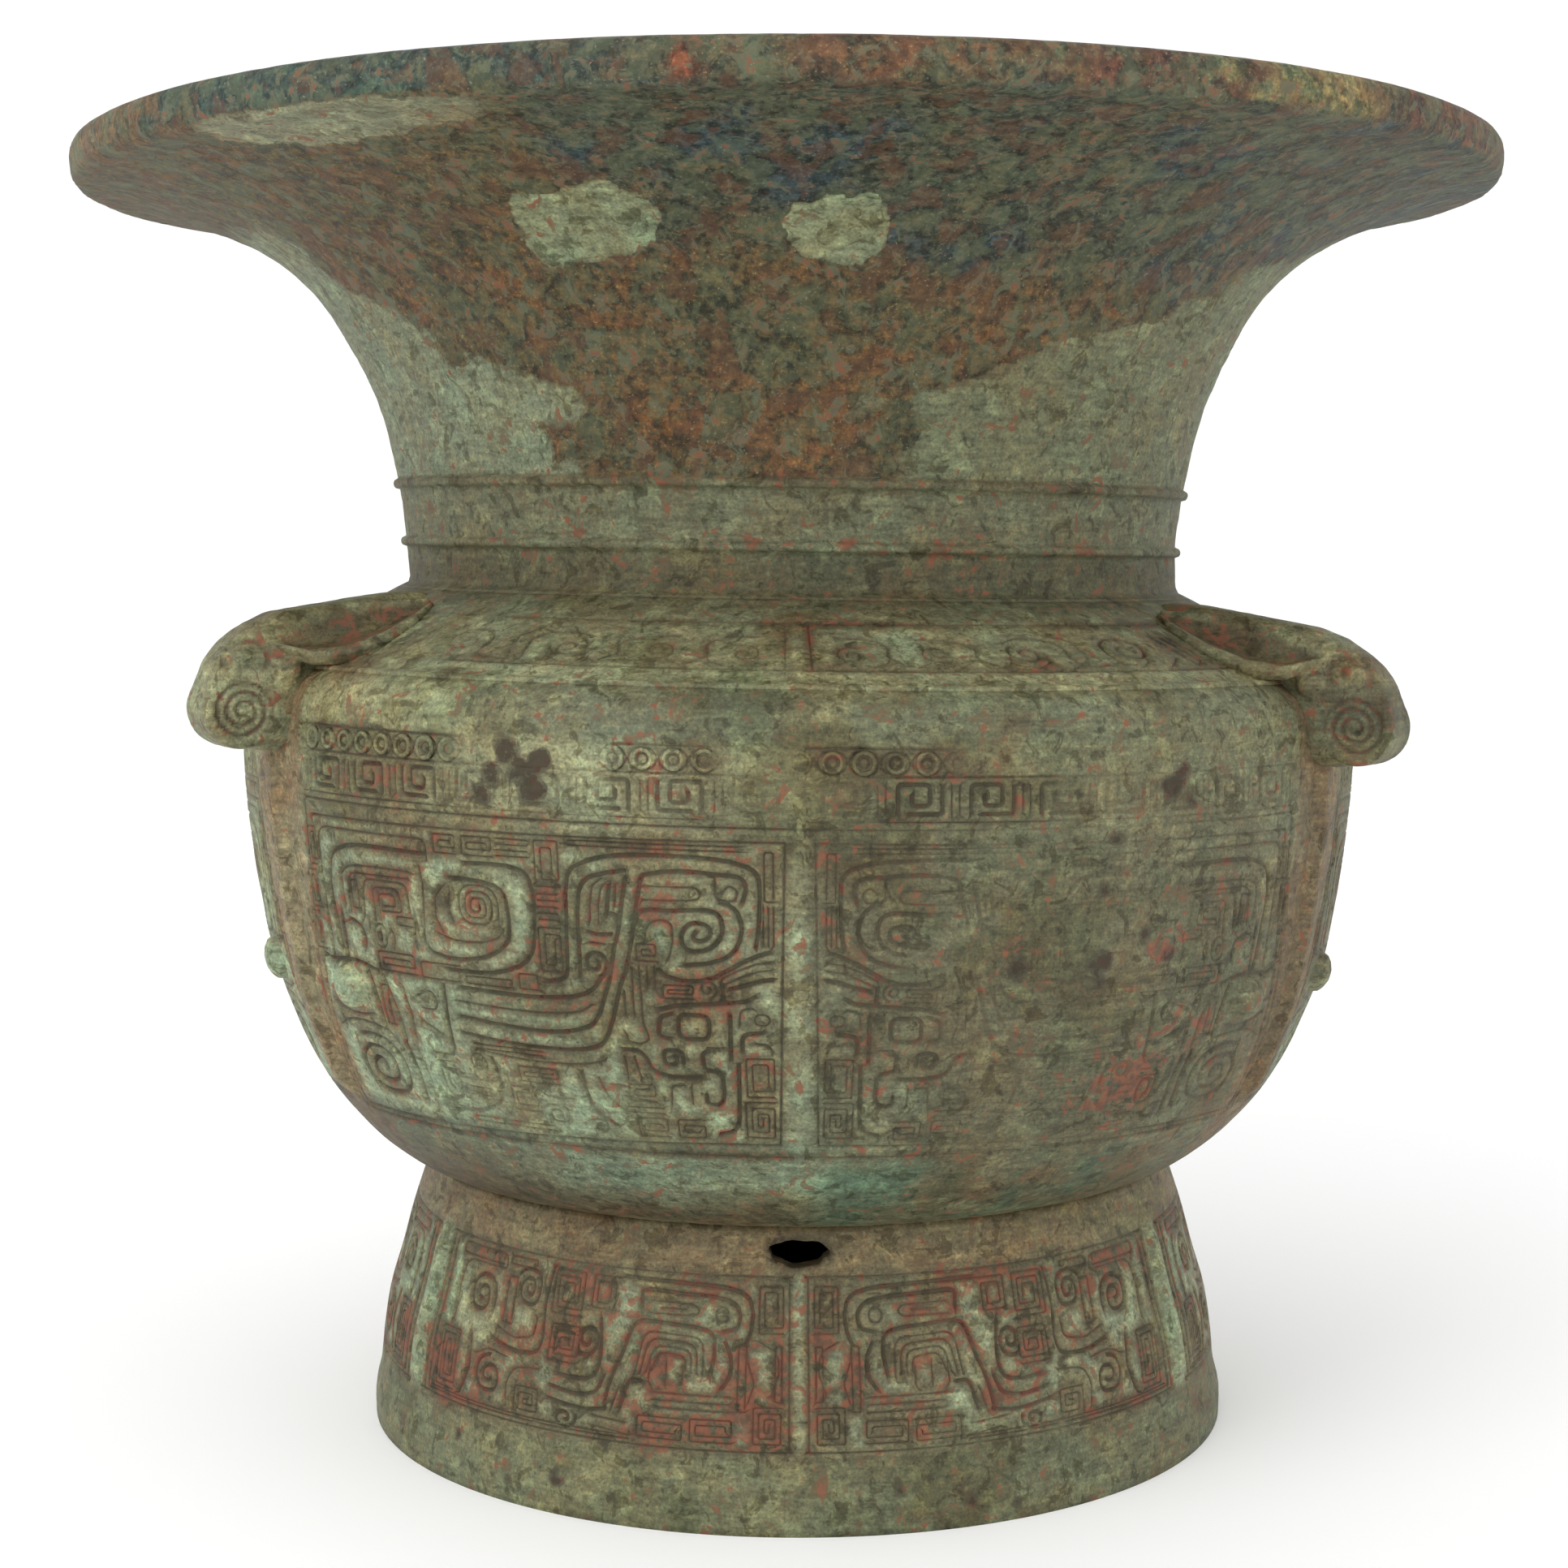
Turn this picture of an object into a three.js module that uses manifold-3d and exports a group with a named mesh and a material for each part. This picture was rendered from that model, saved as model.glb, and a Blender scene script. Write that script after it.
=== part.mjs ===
// A bronze wine vessel with a wide trumpet mouth, a banded shoulder, a round belly and a hollow foot.
// It is one casting: three animal heads, three nose ridges and six half masks stand on it in relief.
// Millimetres, +Z up, origin at the middle of the foot's standing plane, and -Y is the front.

import * as THREE from 'three';
import { mergeVertices } from 'three/addons/utils/BufferGeometryUtils.js';
import Module from 'manifold-3d';

// Heights of the zones, from the standing plane upwards
const footHeight = 64.6;
const footBaseBand = 17.8;
const footTopBand = 9.2;
const bellyHeight = 116.4;
const shoulderRise = 20.8;
const neckHeight = 15.2;
const mouthRise = 82.2;
const lipHeight = 7.8;

// Radii of the outer wall
const footRadius = 105.4;
const jointRadius = 91;
const bellyRadius = 135;
const cornerInset = 3.4;
const neckRadius = 94.3;
const neckFillet = 2.2;
const neckTaper = 0.9;
const mouthRadius = 170;

// Walls
const wall = 3.8;
const footWall = 4;
const lipInset = 3.4;
const edgeSoftening = 0.4;
const footEdge = 5;
const floorSag = 7;

// Bands on the belly, as heights above the joint with the foot
const belliedAt = 97.4;
const registerLow = 22.6;
const registerHigh = 88.9;
const groundDepth = 0.8;

// Raised rings round the neck, as heights above the neck's foot
const bowstringHeights = [10.9, 24.6];
const bowstringRise = 1.5;
const bowstringHalfWidth = 1.7;

// Relief
const bandWidth = 3.4;
const footBandWidth = 2.8;
const bandRise = 0.8;
const noseWidth = 7;
const noseRise = 2.4;
const footNoseWidth = 5;
const footNoseRise = 1.4;
const eyeRadius = 5;
const eyeRise = 3.6;
const footEyeRadius = 3;
const footEyeRise = 2.2;

// Holes in the top band of the foot, one at each casting seam
const holeWidth = 14;
const holeHeight = 6;

// Animal heads on the shoulder's edge
const headWidth = 15;
const headEdge = 2.4;
const headRoot = 4.5;
const rollRadius = 8.1;
const rollWidth = 14.6;
const rollEdge = 2.2;
const rollReach = 9.4;
const rollDrop = 5;
const headCrown = 20.4;
const earLength = 36;
const earWidth = 13.5;
const earThickness = 7;
const earSpread = 10.5;
const eyeBossRadius = 3;
const browRadius = 3;

// Divisions
const thirds = 3;
const outerSides = 36;
const innerSides = 24;
const facetOffset = 0.31;

// Levels, radii and angles that follow from the sizes
const cornerRadius = bellyRadius - cornerInset;
const shoulderTopRadius = neckRadius + neckFillet;
const jointLevel = footHeight;
const cornerLevel = jointLevel + bellyHeight;
const neckLevel = cornerLevel + shoulderRise;
const flareLevel = neckLevel + neckHeight;
const lipLevel = flareLevel + mouthRise;
const rimLevel = lipLevel + lipHeight;
const lipUnderRadius = mouthRadius - lipInset;
const thirdTurn = (2 * Math.PI) / thirds;
const seamAngle = -Math.PI / 2;
const noseAngle = Math.PI / 2;

const wasm = await Module();
wasm.setup();

// Solids and meshes

function solidOf(geometry) {
  const bare = geometry.clone();
  bare.deleteAttribute('normal');
  bare.deleteAttribute('uv');
  const merged = mergeVertices(bare, 1e-4);
  const mesh = new wasm.Mesh({
    numProp: 3,
    vertProperties: new Float32Array(merged.attributes.position.array),
    triVerts: new Uint32Array(merged.index.array),
  });
  return new wasm.Manifold(mesh);
}

function geometryOf(solid) {
  const mesh = solid.getMesh();
  const geometry = new THREE.BufferGeometry();
  geometry.setAttribute('position', new THREE.BufferAttribute(new Float32Array(mesh.vertProperties), 3));
  geometry.setIndex(new THREE.BufferAttribute(new Uint32Array(mesh.triVerts), 1));
  geometry.computeVertexNormals();
  return geometry;
}

function joined(solids) {
  return solids.reduce((sum, solid) => sum.add(solid));
}

function between(low, high, share) {
  return low + (high - low) * share;
}

function point(radius, height) {
  return new THREE.Vector2(radius, height);
}

function turned(profile, sides) {
  const geometry = new THREE.LatheGeometry(profile, sides, (facetOffset * 2 * Math.PI) / sides);
  geometry.rotateX(Math.PI / 2);
  return solidOf(geometry);
}

// The wall's outer profile, zone by zone

const footCurve = new THREE.QuadraticBezierCurve(
  point(footRadius, footEdge),
  point(between(footRadius, jointRadius, 0.25), footHeight * 0.53),
  point(jointRadius, jointLevel),
);

const bellyCurve = new THREE.CubicBezierCurve(
  point(jointRadius, jointLevel),
  point(between(jointRadius, bellyRadius, 0.5), jointLevel + belliedAt * 0.066),
  point(between(jointRadius, bellyRadius, 0.955), jointLevel + belliedAt * 0.385),
  point(bellyRadius, jointLevel + belliedAt),
);

const flareCurve = new THREE.CubicBezierCurve(
  point(neckRadius, flareLevel),
  point(between(neckRadius, lipUnderRadius, 0.03), flareLevel + mouthRise * 0.55),
  point(between(neckRadius, lipUnderRadius, 0.328), flareLevel + mouthRise * 0.815),
  point(lipUnderRadius, lipLevel),
);

// The radius of a curve at a height, which its ends hold beyond their own levels
function radiusOn(curve, height) {
  const points = curve.getPoints(120);
  const rising = points[0].y < points.at(-1).y ? points : points.reverse();
  const above = rising.findIndex((spot) => spot.y >= height);
  if (above <= 0) {
    return above < 0 ? rising.at(-1).x : rising[0].x;
  }
  const low = rising[above - 1];
  const high = rising[above];
  return between(low.x, high.x, (height - low.y) / (high.y - low.y));
}

// Points of one sunk register: the ground lies lower than the frames above and below it
function sunkRegister(curve, low, high, depth, steps) {
  const points = [point(radiusOn(curve, low), low)];
  for (let i = 0; i <= steps; i += 1) {
    const height = between(low, high, i / steps);
    points.push(point(radiusOn(curve, height) - depth, height));
  }
  points.push(point(radiusOn(curve, high), high));
  return points;
}

const footRegister = { curve: footCurve, low: footBaseBand, high: jointLevel - footTopBand };
const bellyRegister = {
  curve: bellyCurve,
  low: jointLevel + registerLow,
  high: jointLevel + registerHigh,
};

function footProfile() {
  return [
    point(footRadius - edgeSoftening, 0),
    point(footRadius, footEdge),
    ...sunkRegister(footCurve, footRegister.low, footRegister.high, groundDepth, 2),
  ];
}

function bellyProfile() {
  const lower = [0, 0.1, 0.32, 0.66].map((share) => {
    const height = between(jointLevel, bellyRegister.low, share);
    return point(radiusOn(bellyCurve, height), height);
  });
  return [
    ...lower,
    ...sunkRegister(bellyCurve, bellyRegister.low, bellyRegister.high, groundDepth, 4),
    point(bellyRadius, jointLevel + belliedAt),
  ];
}

function shoulderProfile() {
  return [
    point(bellyRadius - edgeSoftening * 2, cornerLevel - cornerInset * 1.5),
    point(cornerRadius, cornerLevel + cornerInset * 0.35),
    point(shoulderTopRadius, neckLevel),
  ];
}

function bowstring(height) {
  const level = neckLevel + height;
  const radius = radiusOn(flareCurve, level);
  return [
    point(radius, level - bowstringHalfWidth),
    point(radius + bowstringRise, level),
    point(radius, level + bowstringHalfWidth),
  ];
}

function mouthProfile() {
  const points = [
    point(neckRadius - neckTaper, neckLevel + neckFillet),
    ...bowstringHeights.flatMap(bowstring),
  ];
  const steps = 6;
  for (let i = 0; i <= steps; i += 1) {
    const spot = flareCurve.getPoint(between(0.26, 1, i / steps));
    if (spot.y > points.at(-1).y) {
      points.push(spot);
    }
  }
  points.push(point(mouthRadius - lipInset * 0.3, lipLevel + lipHeight * 0.2));
  points.push(point(mouthRadius, lipLevel + lipHeight * 0.55));
  points.push(point(mouthRadius - edgeSoftening, rimLevel));
  return points;
}

// The cavity: the outer profile without its relief, moved inwards by the wall's thickness

function inset(points, distance) {
  return points.map((spot, i) => {
    const before = points[Math.max(i - 1, 0)];
    const after = points[Math.min(i + 1, points.length - 1)];
    const along = new THREE.Vector2().subVectors(after, before).normalize();
    return point(spot.x - along.y * distance, spot.y + along.x * distance);
  });
}

function cavityProfile() {
  const bellyPoints = [0.14, 0.32, 0.54, 0.78, 1].map((share) => bellyCurve.getPoint(share));
  const flarePoints = [0, 0.3, 0.52, 0.74, 1].map((share) => flareCurve.getPoint(share));
  const inner = inset([...bellyPoints, ...shoulderProfile(), ...flarePoints], wall);
  const last = inner.at(-1);
  const floorLevel = jointLevel - floorSag + wall;
  return [
    point(0, floorLevel),
    point(jointRadius * 0.6, floorLevel + floorSag * 0.38),
    ...inner,
    point(last.x, rimLevel + wall),
    point(0, rimLevel + wall),
  ];
}

function footCavityProfile() {
  const ceiling = jointLevel - floorSag;
  const shares = [0, 0.45, 0.93];
  const sides = inset(shares.map((share) => footCurve.getPoint(share)), footWall);
  return [
    point(0, -footWall),
    point(footRadius - footWall, -footWall),
    point(footRadius - footWall, sides[0].y),
    ...sides,
    point(jointRadius * 0.6, ceiling + floorSag * 0.38),
    point(0, ceiling),
  ];
}

function bareVessel() {
  const outer = turned(
    [
      point(0, 0),
      ...footProfile(),
      ...bellyProfile(),
      ...shoulderProfile(),
      ...mouthProfile(),
      point(0, rimLevel),
    ],
    outerSides,
  );
  return outer
    .subtract(turned(cavityProfile(), innerSides))
    .subtract(turned(footCavityProfile(), innerSides));
}

// Relief that follows the wall

// A raised flat band along a path on a register. Each stop of the path is the share of the way
// from the seam to the nose ridge, and the share of the way up the register.
function reliefBand(register, path, angleOf, width, rise) {
  const sunk = groundDepth + wall * 0.32;
  const spots = path.map(([across, up]) => {
    const height = between(register.low, register.high, up);
    return { angle: angleOf(across), height, radius: radiusOn(register.curve, height) };
  });
  const meanRadius = spots.reduce((sum, spot) => sum + spot.radius, 0) / spots.length;
  const flat = spots.map((spot) => new THREE.Vector2(spot.angle * meanRadius, spot.height));
  const place = (spot, offset, lift) => {
    const angle = spot.angle + offset.x / meanRadius;
    const height = spot.height + offset.y;
    const radius = radiusOn(register.curve, height) + lift;
    return [radius * Math.cos(angle), radius * Math.sin(angle), height];
  };
  const stations = spots.map((spot, i) => {
    const before = flat[Math.max(i - 1, 0)];
    const after = flat[Math.min(i + 1, flat.length - 1)];
    const arriving = new THREE.Vector2().subVectors(flat[i], before).normalize();
    const leaving = new THREE.Vector2().subVectors(after, flat[i]).normalize();
    const along = new THREE.Vector2().addVectors(arriving, leaving).normalize();
    const side = new THREE.Vector2(-along.y, along.x);
    const leg = i > 0 ? arriving : leaving;
    const mitre = Math.min(1 / Math.max(along.dot(leg), 0.5), 1.5);
    return [[0.62, -sunk], [0.5, rise - groundDepth]].flatMap(([share, lift]) => [
      place(spot, side.clone().multiplyScalar(-width * share * mitre), lift),
      place(spot, side.clone().multiplyScalar(width * share * mitre), lift),
    ]);
  });
  const faces = [];
  for (let i = 0; i + 1 < stations.length; i += 1) {
    const a = 4 * i;
    const b = a + 4;
    for (const [p, q] of [[0, 1], [1, 3], [3, 2], [2, 0]]) {
      faces.push(a + p, b + q, b + p, a + p, a + q, b + q);
    }
  }
  const end = 4 * (stations.length - 1);
  faces.push(0, 3, 1, 0, 2, 3, end, end + 1, end + 3, end, end + 3, end + 2);
  const geometry = new THREE.BufferGeometry();
  geometry.setAttribute('position', new THREE.BufferAttribute(new Float32Array(stations.flat(2)), 3));
  geometry.setIndex(faces);
  return solidOf(geometry);
}

// The mask's crest: a body band that climbs, runs over the top and rolls up into a coil by the seam
function crestPath(coilStops) {
  const path = [[0.56, 0.4], [0.43, 0.39], [0.3, 0.42], [0.225, 0.8], [0.18, 0.91], [0.08, 0.91]];
  const centre = [0.135, 0.7];
  const reach = [0.075, 0.17];
  for (let i = 0; i <= coilStops; i += 1) {
    const swing = Math.PI * 0.1 - (i * Math.PI) / 3;
    const shrink = 1 - 0.09 * i;
    path.push([
      centre[0] - reach[0] * shrink * Math.cos(swing),
      centre[1] + reach[1] * shrink * Math.sin(swing),
    ]);
  }
  return path;
}

// The horn: a square hook beside the nose that drops into a rounded scroll
const hornPath = [
  [0.8, 0.58], [0.8, 0.91], [0.7, 0.93], [0.6, 0.92], [0.58, 0.64], [0.5, 0.61], [0.42, 0.64], [0.4, 0.86],
  [0.5, 0.87],
];

function onSurface(solid, angle, radius, height) {
  return solid.rotate([0, 0, THREE.MathUtils.radToDeg(angle)]).translate([
    radius * Math.cos(angle),
    radius * Math.sin(angle),
    height,
  ]);
}

function domed(radius, rise) {
  const geometry = new THREE.SphereGeometry(radius, 6, 3);
  geometry.scale(rise / radius, 1, 1);
  return solidOf(geometry);
}

function halfMask(seam, side) {
  const angleOf = (across) => seam + (side * across * thirdTurn) / 2;
  const eyeHeight = between(bellyRegister.low, bellyRegister.high, 0.4);
  const footEyeHeight = between(footRegister.low, footRegister.high, 0.42);
  const bands = [
    reliefBand(bellyRegister, crestPath(3), angleOf, bandWidth, bandRise),
    reliefBand(bellyRegister, hornPath, angleOf, bandWidth, bandRise),
    reliefBand(footRegister, crestPath(1), angleOf, footBandWidth, bandRise),
  ];
  const eye = onSurface(
    domed(eyeRadius, eyeRise),
    angleOf(0.775),
    radiusOn(bellyCurve, eyeHeight) - groundDepth,
    eyeHeight,
  );
  const footEye = onSurface(
    domed(footEyeRadius, footEyeRise),
    angleOf(0.72),
    radiusOn(footCurve, footEyeHeight) - groundDepth,
    footEyeHeight,
  );
  return joined([...bands, eye, footEye]);
}

// A plain ridge down the middle of a mask
function noseRidge(register, top, angle, width, rise) {
  const stops = 3;
  const path = [];
  for (let i = 0; i <= stops; i += 1) {
    path.push([0, between(-0.02, top, i / stops)]);
  }
  return reliefBand(register, path, () => angle, width, rise + groundDepth);
}

function footHole(angle) {
  const outline = new THREE.Shape();
  outline.absellipse(0, 0, holeWidth / 2, holeHeight / 2, 0, 2 * Math.PI);
  const depth = 5 * footWall;
  const geometry = new THREE.ExtrudeGeometry(outline, { depth, bevelEnabled: false, curveSegments: 7 });
  geometry.translate(0, 0, -depth / 2);
  geometry.rotateX(Math.PI / 2);
  geometry.rotateZ(Math.PI / 2);
  return onSurface(solidOf(geometry), angle, jointRadius, jointLevel - footTopBand * 0.56);
}

// One animal head, drawn in side view with its distance from the axis and its height, and then turned.
// Each stop of its outline is a share of the way from its root to the snout's tip, and a share of the
// way from the snout's underside up to the crown.
const headStops = [
  [0, 0.87], [0, 1], [0.23, 0.975], [0.5, 0.907], [0.645, 0.843], [0.77, 0.744], [0.875, 0.61],
  [0.95, 0.44], [0.94, 0.26], [0.79, 0], [0.71, -0.08], [0.615, -0.09], [0.587, 0.41],
];

function headBody() {
  const root = shoulderTopRadius + headRoot;
  const tip = bellyRadius + rollReach + rollRadius;
  const under = cornerLevel - rollDrop - rollRadius;
  const crown = cornerLevel + headCrown;
  const stops = headStops.map(([along, up]) => point(between(root, tip, along), between(under, crown, up)));
  const geometry = new THREE.ExtrudeGeometry(new THREE.Shape(stops), {
    depth: headWidth - 2 * headEdge,
    bevelThickness: headEdge,
    bevelSize: headEdge * 0.6,
    bevelOffset: -headEdge * 0.6,
    bevelSegments: 1,
  });
  geometry.translate(0, 0, -headWidth / 2 + headEdge);
  geometry.rotateX(Math.PI / 2);
  return solidOf(geometry);
}

function snoutRoll() {
  const half = rollWidth / 2;
  const barrel = [
    point(0, -half),
    point(rollRadius - rollEdge, -half),
    point(rollRadius, rollEdge - half),
    point(rollRadius, half - rollEdge),
    point(rollRadius - rollEdge, half),
    point(0, half),
  ];
  const geometry = new THREE.LatheGeometry(barrel, 12);
  geometry.translate(bellyRadius + rollReach, 0, cornerLevel - rollDrop);
  return solidOf(geometry);
}

function leaf(length, width, thickness) {
  const geometry = new THREE.SphereGeometry(0.5, 8, 4);
  geometry.scale(length, thickness, width);
  return solidOf(geometry);
}

// A spoon-shaped ear that lies back towards the neck, hollow on its outer face
function ear(side) {
  const hollow = leaf(earLength * 0.78, earWidth * 0.62, earThickness).translate([
    earLength * 0.02,
    side * earThickness * 0.52,
    earWidth * 0.05,
  ]);
  return leaf(earLength, earWidth, earThickness)
    .subtract(hollow)
    .rotate([side * 42, 10, -side * 8])
    .translate([cornerRadius - earLength / 3, side * earSpread, cornerLevel + earWidth]);
}

function knob(radius, reach, spread, rise) {
  const geometry = new THREE.SphereGeometry(radius, 6, 3);
  geometry.translate(cornerRadius + reach, spread, cornerLevel + rise);
  return solidOf(geometry);
}

// The eye beside the snout and the boss behind the jaw
function headSide(side) {
  const spread = (side * headWidth) / 2;
  return [
    knob(eyeBossRadius, eyeBossRadius * 4, spread * 0.9, eyeBossRadius * 2.2),
    knob(browRadius, browRadius * 1.1, spread, browRadius),
  ];
}

function animalHead(angle) {
  const pieces = [headBody(), snoutRoll(), ear(1), ear(-1), ...headSide(1), ...headSide(-1)];
  return joined(pieces).rotate([0, 0, THREE.MathUtils.radToDeg(angle)]);
}

function vessel() {
  let body = bareVessel();
  const added = [];
  for (let third = 0; third < thirds; third += 1) {
    const seam = seamAngle + third * thirdTurn;
    const nose = noseAngle + third * thirdTurn;
    added.push(halfMask(seam, 1), halfMask(seam, -1));
    added.push(noseRidge(bellyRegister, 1.22, nose, noseWidth, noseRise));
    added.push(noseRidge(footRegister, 1, nose, footNoseWidth, footNoseRise));
    added.push(animalHead(nose));
  }
  body = body.add(joined(added));
  for (let third = 0; third < thirds; third += 1) {
    body = body.subtract(footHole(seamAngle + third * thirdTurn));
  }
  return body;
}

const bronze = new THREE.MeshStandardMaterial({ color: 0x6f7a5e, roughness: 0.82, metalness: 0.15 });
const casting = new THREE.Mesh(geometryOf(vessel()), bronze);
casting.name = 'zun_vessel';

const model = new THREE.Group();
model.add(casting);

export default model;
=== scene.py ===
"""The looks of a large-mouthed bronze zun: its carved skin, its three animal heads and its patina."""
import logging
import math
from dataclasses import dataclass
from enum import Enum
from typing import Callable, Sequence

import bmesh
import bpy
import numpy as np
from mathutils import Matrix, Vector, kdtree
from mathutils.geometry import delaunay_2d_cdt


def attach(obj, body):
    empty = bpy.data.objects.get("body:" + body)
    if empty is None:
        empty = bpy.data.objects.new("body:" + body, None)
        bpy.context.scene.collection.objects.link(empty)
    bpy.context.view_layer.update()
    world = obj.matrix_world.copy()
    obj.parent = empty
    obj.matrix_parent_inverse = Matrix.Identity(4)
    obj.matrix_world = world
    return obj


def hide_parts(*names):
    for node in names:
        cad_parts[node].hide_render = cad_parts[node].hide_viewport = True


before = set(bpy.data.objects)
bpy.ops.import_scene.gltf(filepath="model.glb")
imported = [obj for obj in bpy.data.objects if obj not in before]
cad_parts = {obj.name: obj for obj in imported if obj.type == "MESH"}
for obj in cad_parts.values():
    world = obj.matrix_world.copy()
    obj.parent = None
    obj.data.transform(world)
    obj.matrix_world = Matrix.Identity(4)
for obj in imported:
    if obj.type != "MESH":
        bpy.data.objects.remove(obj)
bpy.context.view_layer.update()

LOG = logging.getLogger("zun")
MM = 0.001
NODE, BODY, SLOT = "zun_vessel", "root", "patinated_bronze"
PHOTO_SIZE = 1932
THIRD, HALF_PANEL = 120.0, 60.0
SEAMS = (0.0, 120.0, 240.0)
HEAD_ANGLES = (60.0, 180.0, 300.0)
MARKS = ("angle", "level", "groove", "side", "near")

Array = np.ndarray
Point = tuple[float, float]
Relief = Callable[[Array, Array], Array]
Solid = tuple[list, list]
Piece, Mesh, Finish = bpy.types.Object, bpy.types.Mesh, bpy.types.Material
Socket = bpy.types.NodeSocket


class Side(Enum):
    """Which skin of the casting a vertex is on."""

    OUTER = 0.0
    INNER = 1.0


class Groove(Enum):
    """The widths of line that the mould carver used, as width and depth in mm."""

    BROAD = (1.55, 1.0)
    MIDDLE = (1.15, 0.8)
    FINE = (0.72, 0.58)


B, M, F = Groove.BROAD, Groove.MIDDLE, Groove.FINE


def put(name: str, data: bpy.types.ID) -> Piece:
    """Adds an object to the scene.

    Args:
        name: Its name.
        data: Its mesh, camera or lamp.

    Returns:
        The object.
    """
    thing = bpy.data.objects.new(name, data)
    bpy.context.collection.objects.link(thing)
    return thing


def baked(thing: Piece) -> Mesh:
    """A copy of an object's mesh as its modifiers leave it."""
    return bpy.data.meshes.new_from_object(thing.evaluated_get(bpy.context.evaluated_depsgraph_get()))


def read_points(mesh: Mesh, key: str = "co") -> Array:
    """Reads a vector of every vertex.

    Args:
        mesh: The mesh.
        key: Which vector, the place or the normal.

    Returns:
        One row a vertex.
    """
    flat = np.empty(len(mesh.vertices) * 3, np.float32)
    mesh.vertices.foreach_get(key, flat)
    return flat.reshape(-1, 3).astype(float)


def write_values(mesh: Mesh, values: dict[str, Array]) -> None:
    """Gives every vertex one number under each name.

    Args:
        mesh: The mesh.
        values: The numbers by name.
    """
    for key, value in values.items():
        layer = mesh.attributes.get(key) or mesh.attributes.new(key, "FLOAT", "POINT")
        layer.data.foreach_set("value", value.astype(np.float32))


@dataclass(frozen=True)
class PhotoCamera:
    """The photograph's viewpoint, in mm and degrees."""

    distance: float = 684.8
    height: float = 213.5
    pitch: float = 4.975
    yaw: float = 0.044
    focal_px: float = 3406.0
    film: float = 36.0

    def build(self) -> None:
        """Makes the scene's camera."""
        data = bpy.data.cameras.new("photo_camera")
        data.sensor_width = self.film
        data.lens = self.focal_px / PHOTO_SIZE * self.film
        data.clip_start = 0.01
        camera = put("photo_camera", data)
        camera.location = (0.0, -self.distance * MM, self.height * MM)
        camera.rotation_euler = (math.radians(90 - self.pitch), 0.0, math.radians(self.yaw))
        bpy.context.scene.camera = camera


@dataclass(frozen=True)
class Studio:
    """A plain pale floor and soft light from all round."""

    floor_half: float = 6.0
    floor_tone: float = 1.0
    sky: float = 1.04
    key_power: float = 10.0
    fill_power: float = 2.0
    aim: tuple = (0.0, 0.0, 0.15)

    def build(self) -> None:
        """Makes the floor, the sky and the two soft lamps."""
        mesh = bpy.data.meshes.new("studio_floor")
        s = self.floor_half
        mesh.from_pydata([(-s, -s, 0), (s, -s, 0), (s, s, 0), (-s, s, 0)], [], [(0, 1, 2, 3)])
        floor = put("studio_floor", mesh)
        paper = bpy.data.materials.new("studio_paper")
        paper.use_nodes = True
        shader = paper.node_tree.nodes["Principled BSDF"]
        shader.inputs["Base Color"].default_value = (self.floor_tone,) * 3 + (1.0,)
        shader.inputs["Roughness"].default_value = 0.9
        mesh.materials.append(paper)
        world = bpy.data.worlds.new("studio_sky")
        world.use_nodes = True
        back = world.node_tree.nodes["Background"]
        back.inputs["Color"].default_value = (1.0, 1.0, 1.0, 1.0)
        back.inputs["Strength"].default_value = self.sky
        bpy.context.scene.world = world
        self._lamp("key", (-0.75, -1.1, 1.35), 1.0, self.key_power)
        self._lamp("fill", (1.1, -0.9, 0.8), 1.2, self.fill_power)
        bpy.context.scene.view_settings.view_transform = "Standard"

    def _lamp(self, name: str, place: tuple, size: float, power: float) -> None:
        """Hangs one square lamp that faces the vessel.

        Args:
            name: The lamp's name.
            place: Where it hangs, in metres.
            size: Its side, in metres.
            power: Its power in watts.
        """
        data = bpy.data.lights.new("lamp_" + name, "AREA")
        data.size = size
        data.energy = power
        lamp = put("lamp_" + name, data)
        lamp.location = place
        lamp.rotation_euler = (Vector(self.aim) - Vector(place)).to_track_quat("-Z", "Y").to_euler()


def ease(low: float, high: float, value: Array) -> Array:
    """Rises softly from 0 at low to 1 at high."""
    t = np.clip((value - low) / (high - low), 0.0, 1.0)
    return t * t * (3 - 2 * t)


def circle(turn: Array, radius: Array | float, level: Array) -> Array:
    """Points round the axis, from angles in radians."""
    return np.stack([radius * np.sin(turn), -radius * np.cos(turn), level], axis=-1)


def from_seam(angle: Array) -> Array:
    """How many degrees each angle lies from a multiple of 120."""
    return np.minimum(angle % THIRD, THIRD - angle % THIRD)


def through(knots: Array, step: float) -> Array:
    """Runs a smooth line through knots.

    Args:
        knots: The points that it passes, one a row.
        step: The share of a gap between knots from one point to the next.

    Returns:
        The fine line.
    """
    padded = np.concatenate([[2 * knots[0] - knots[1]], knots, [2 * knots[-1] - knots[-2]]])
    line = []
    for p0, p1, p2, p3 in zip(padded, padded[1:], padded[2:], padded[3:]):
        for t in np.arange(0, 1, step):
            line.append(0.5 * (2 * p1 + (p2 - p0) * t + (2 * p0 - 5 * p1 + 4 * p2 - p3) * t**2
                               + (3 * p1 - p0 - 3 * p2 + p3) * t**3))
    return np.array(line + [knots[-1]])


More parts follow.
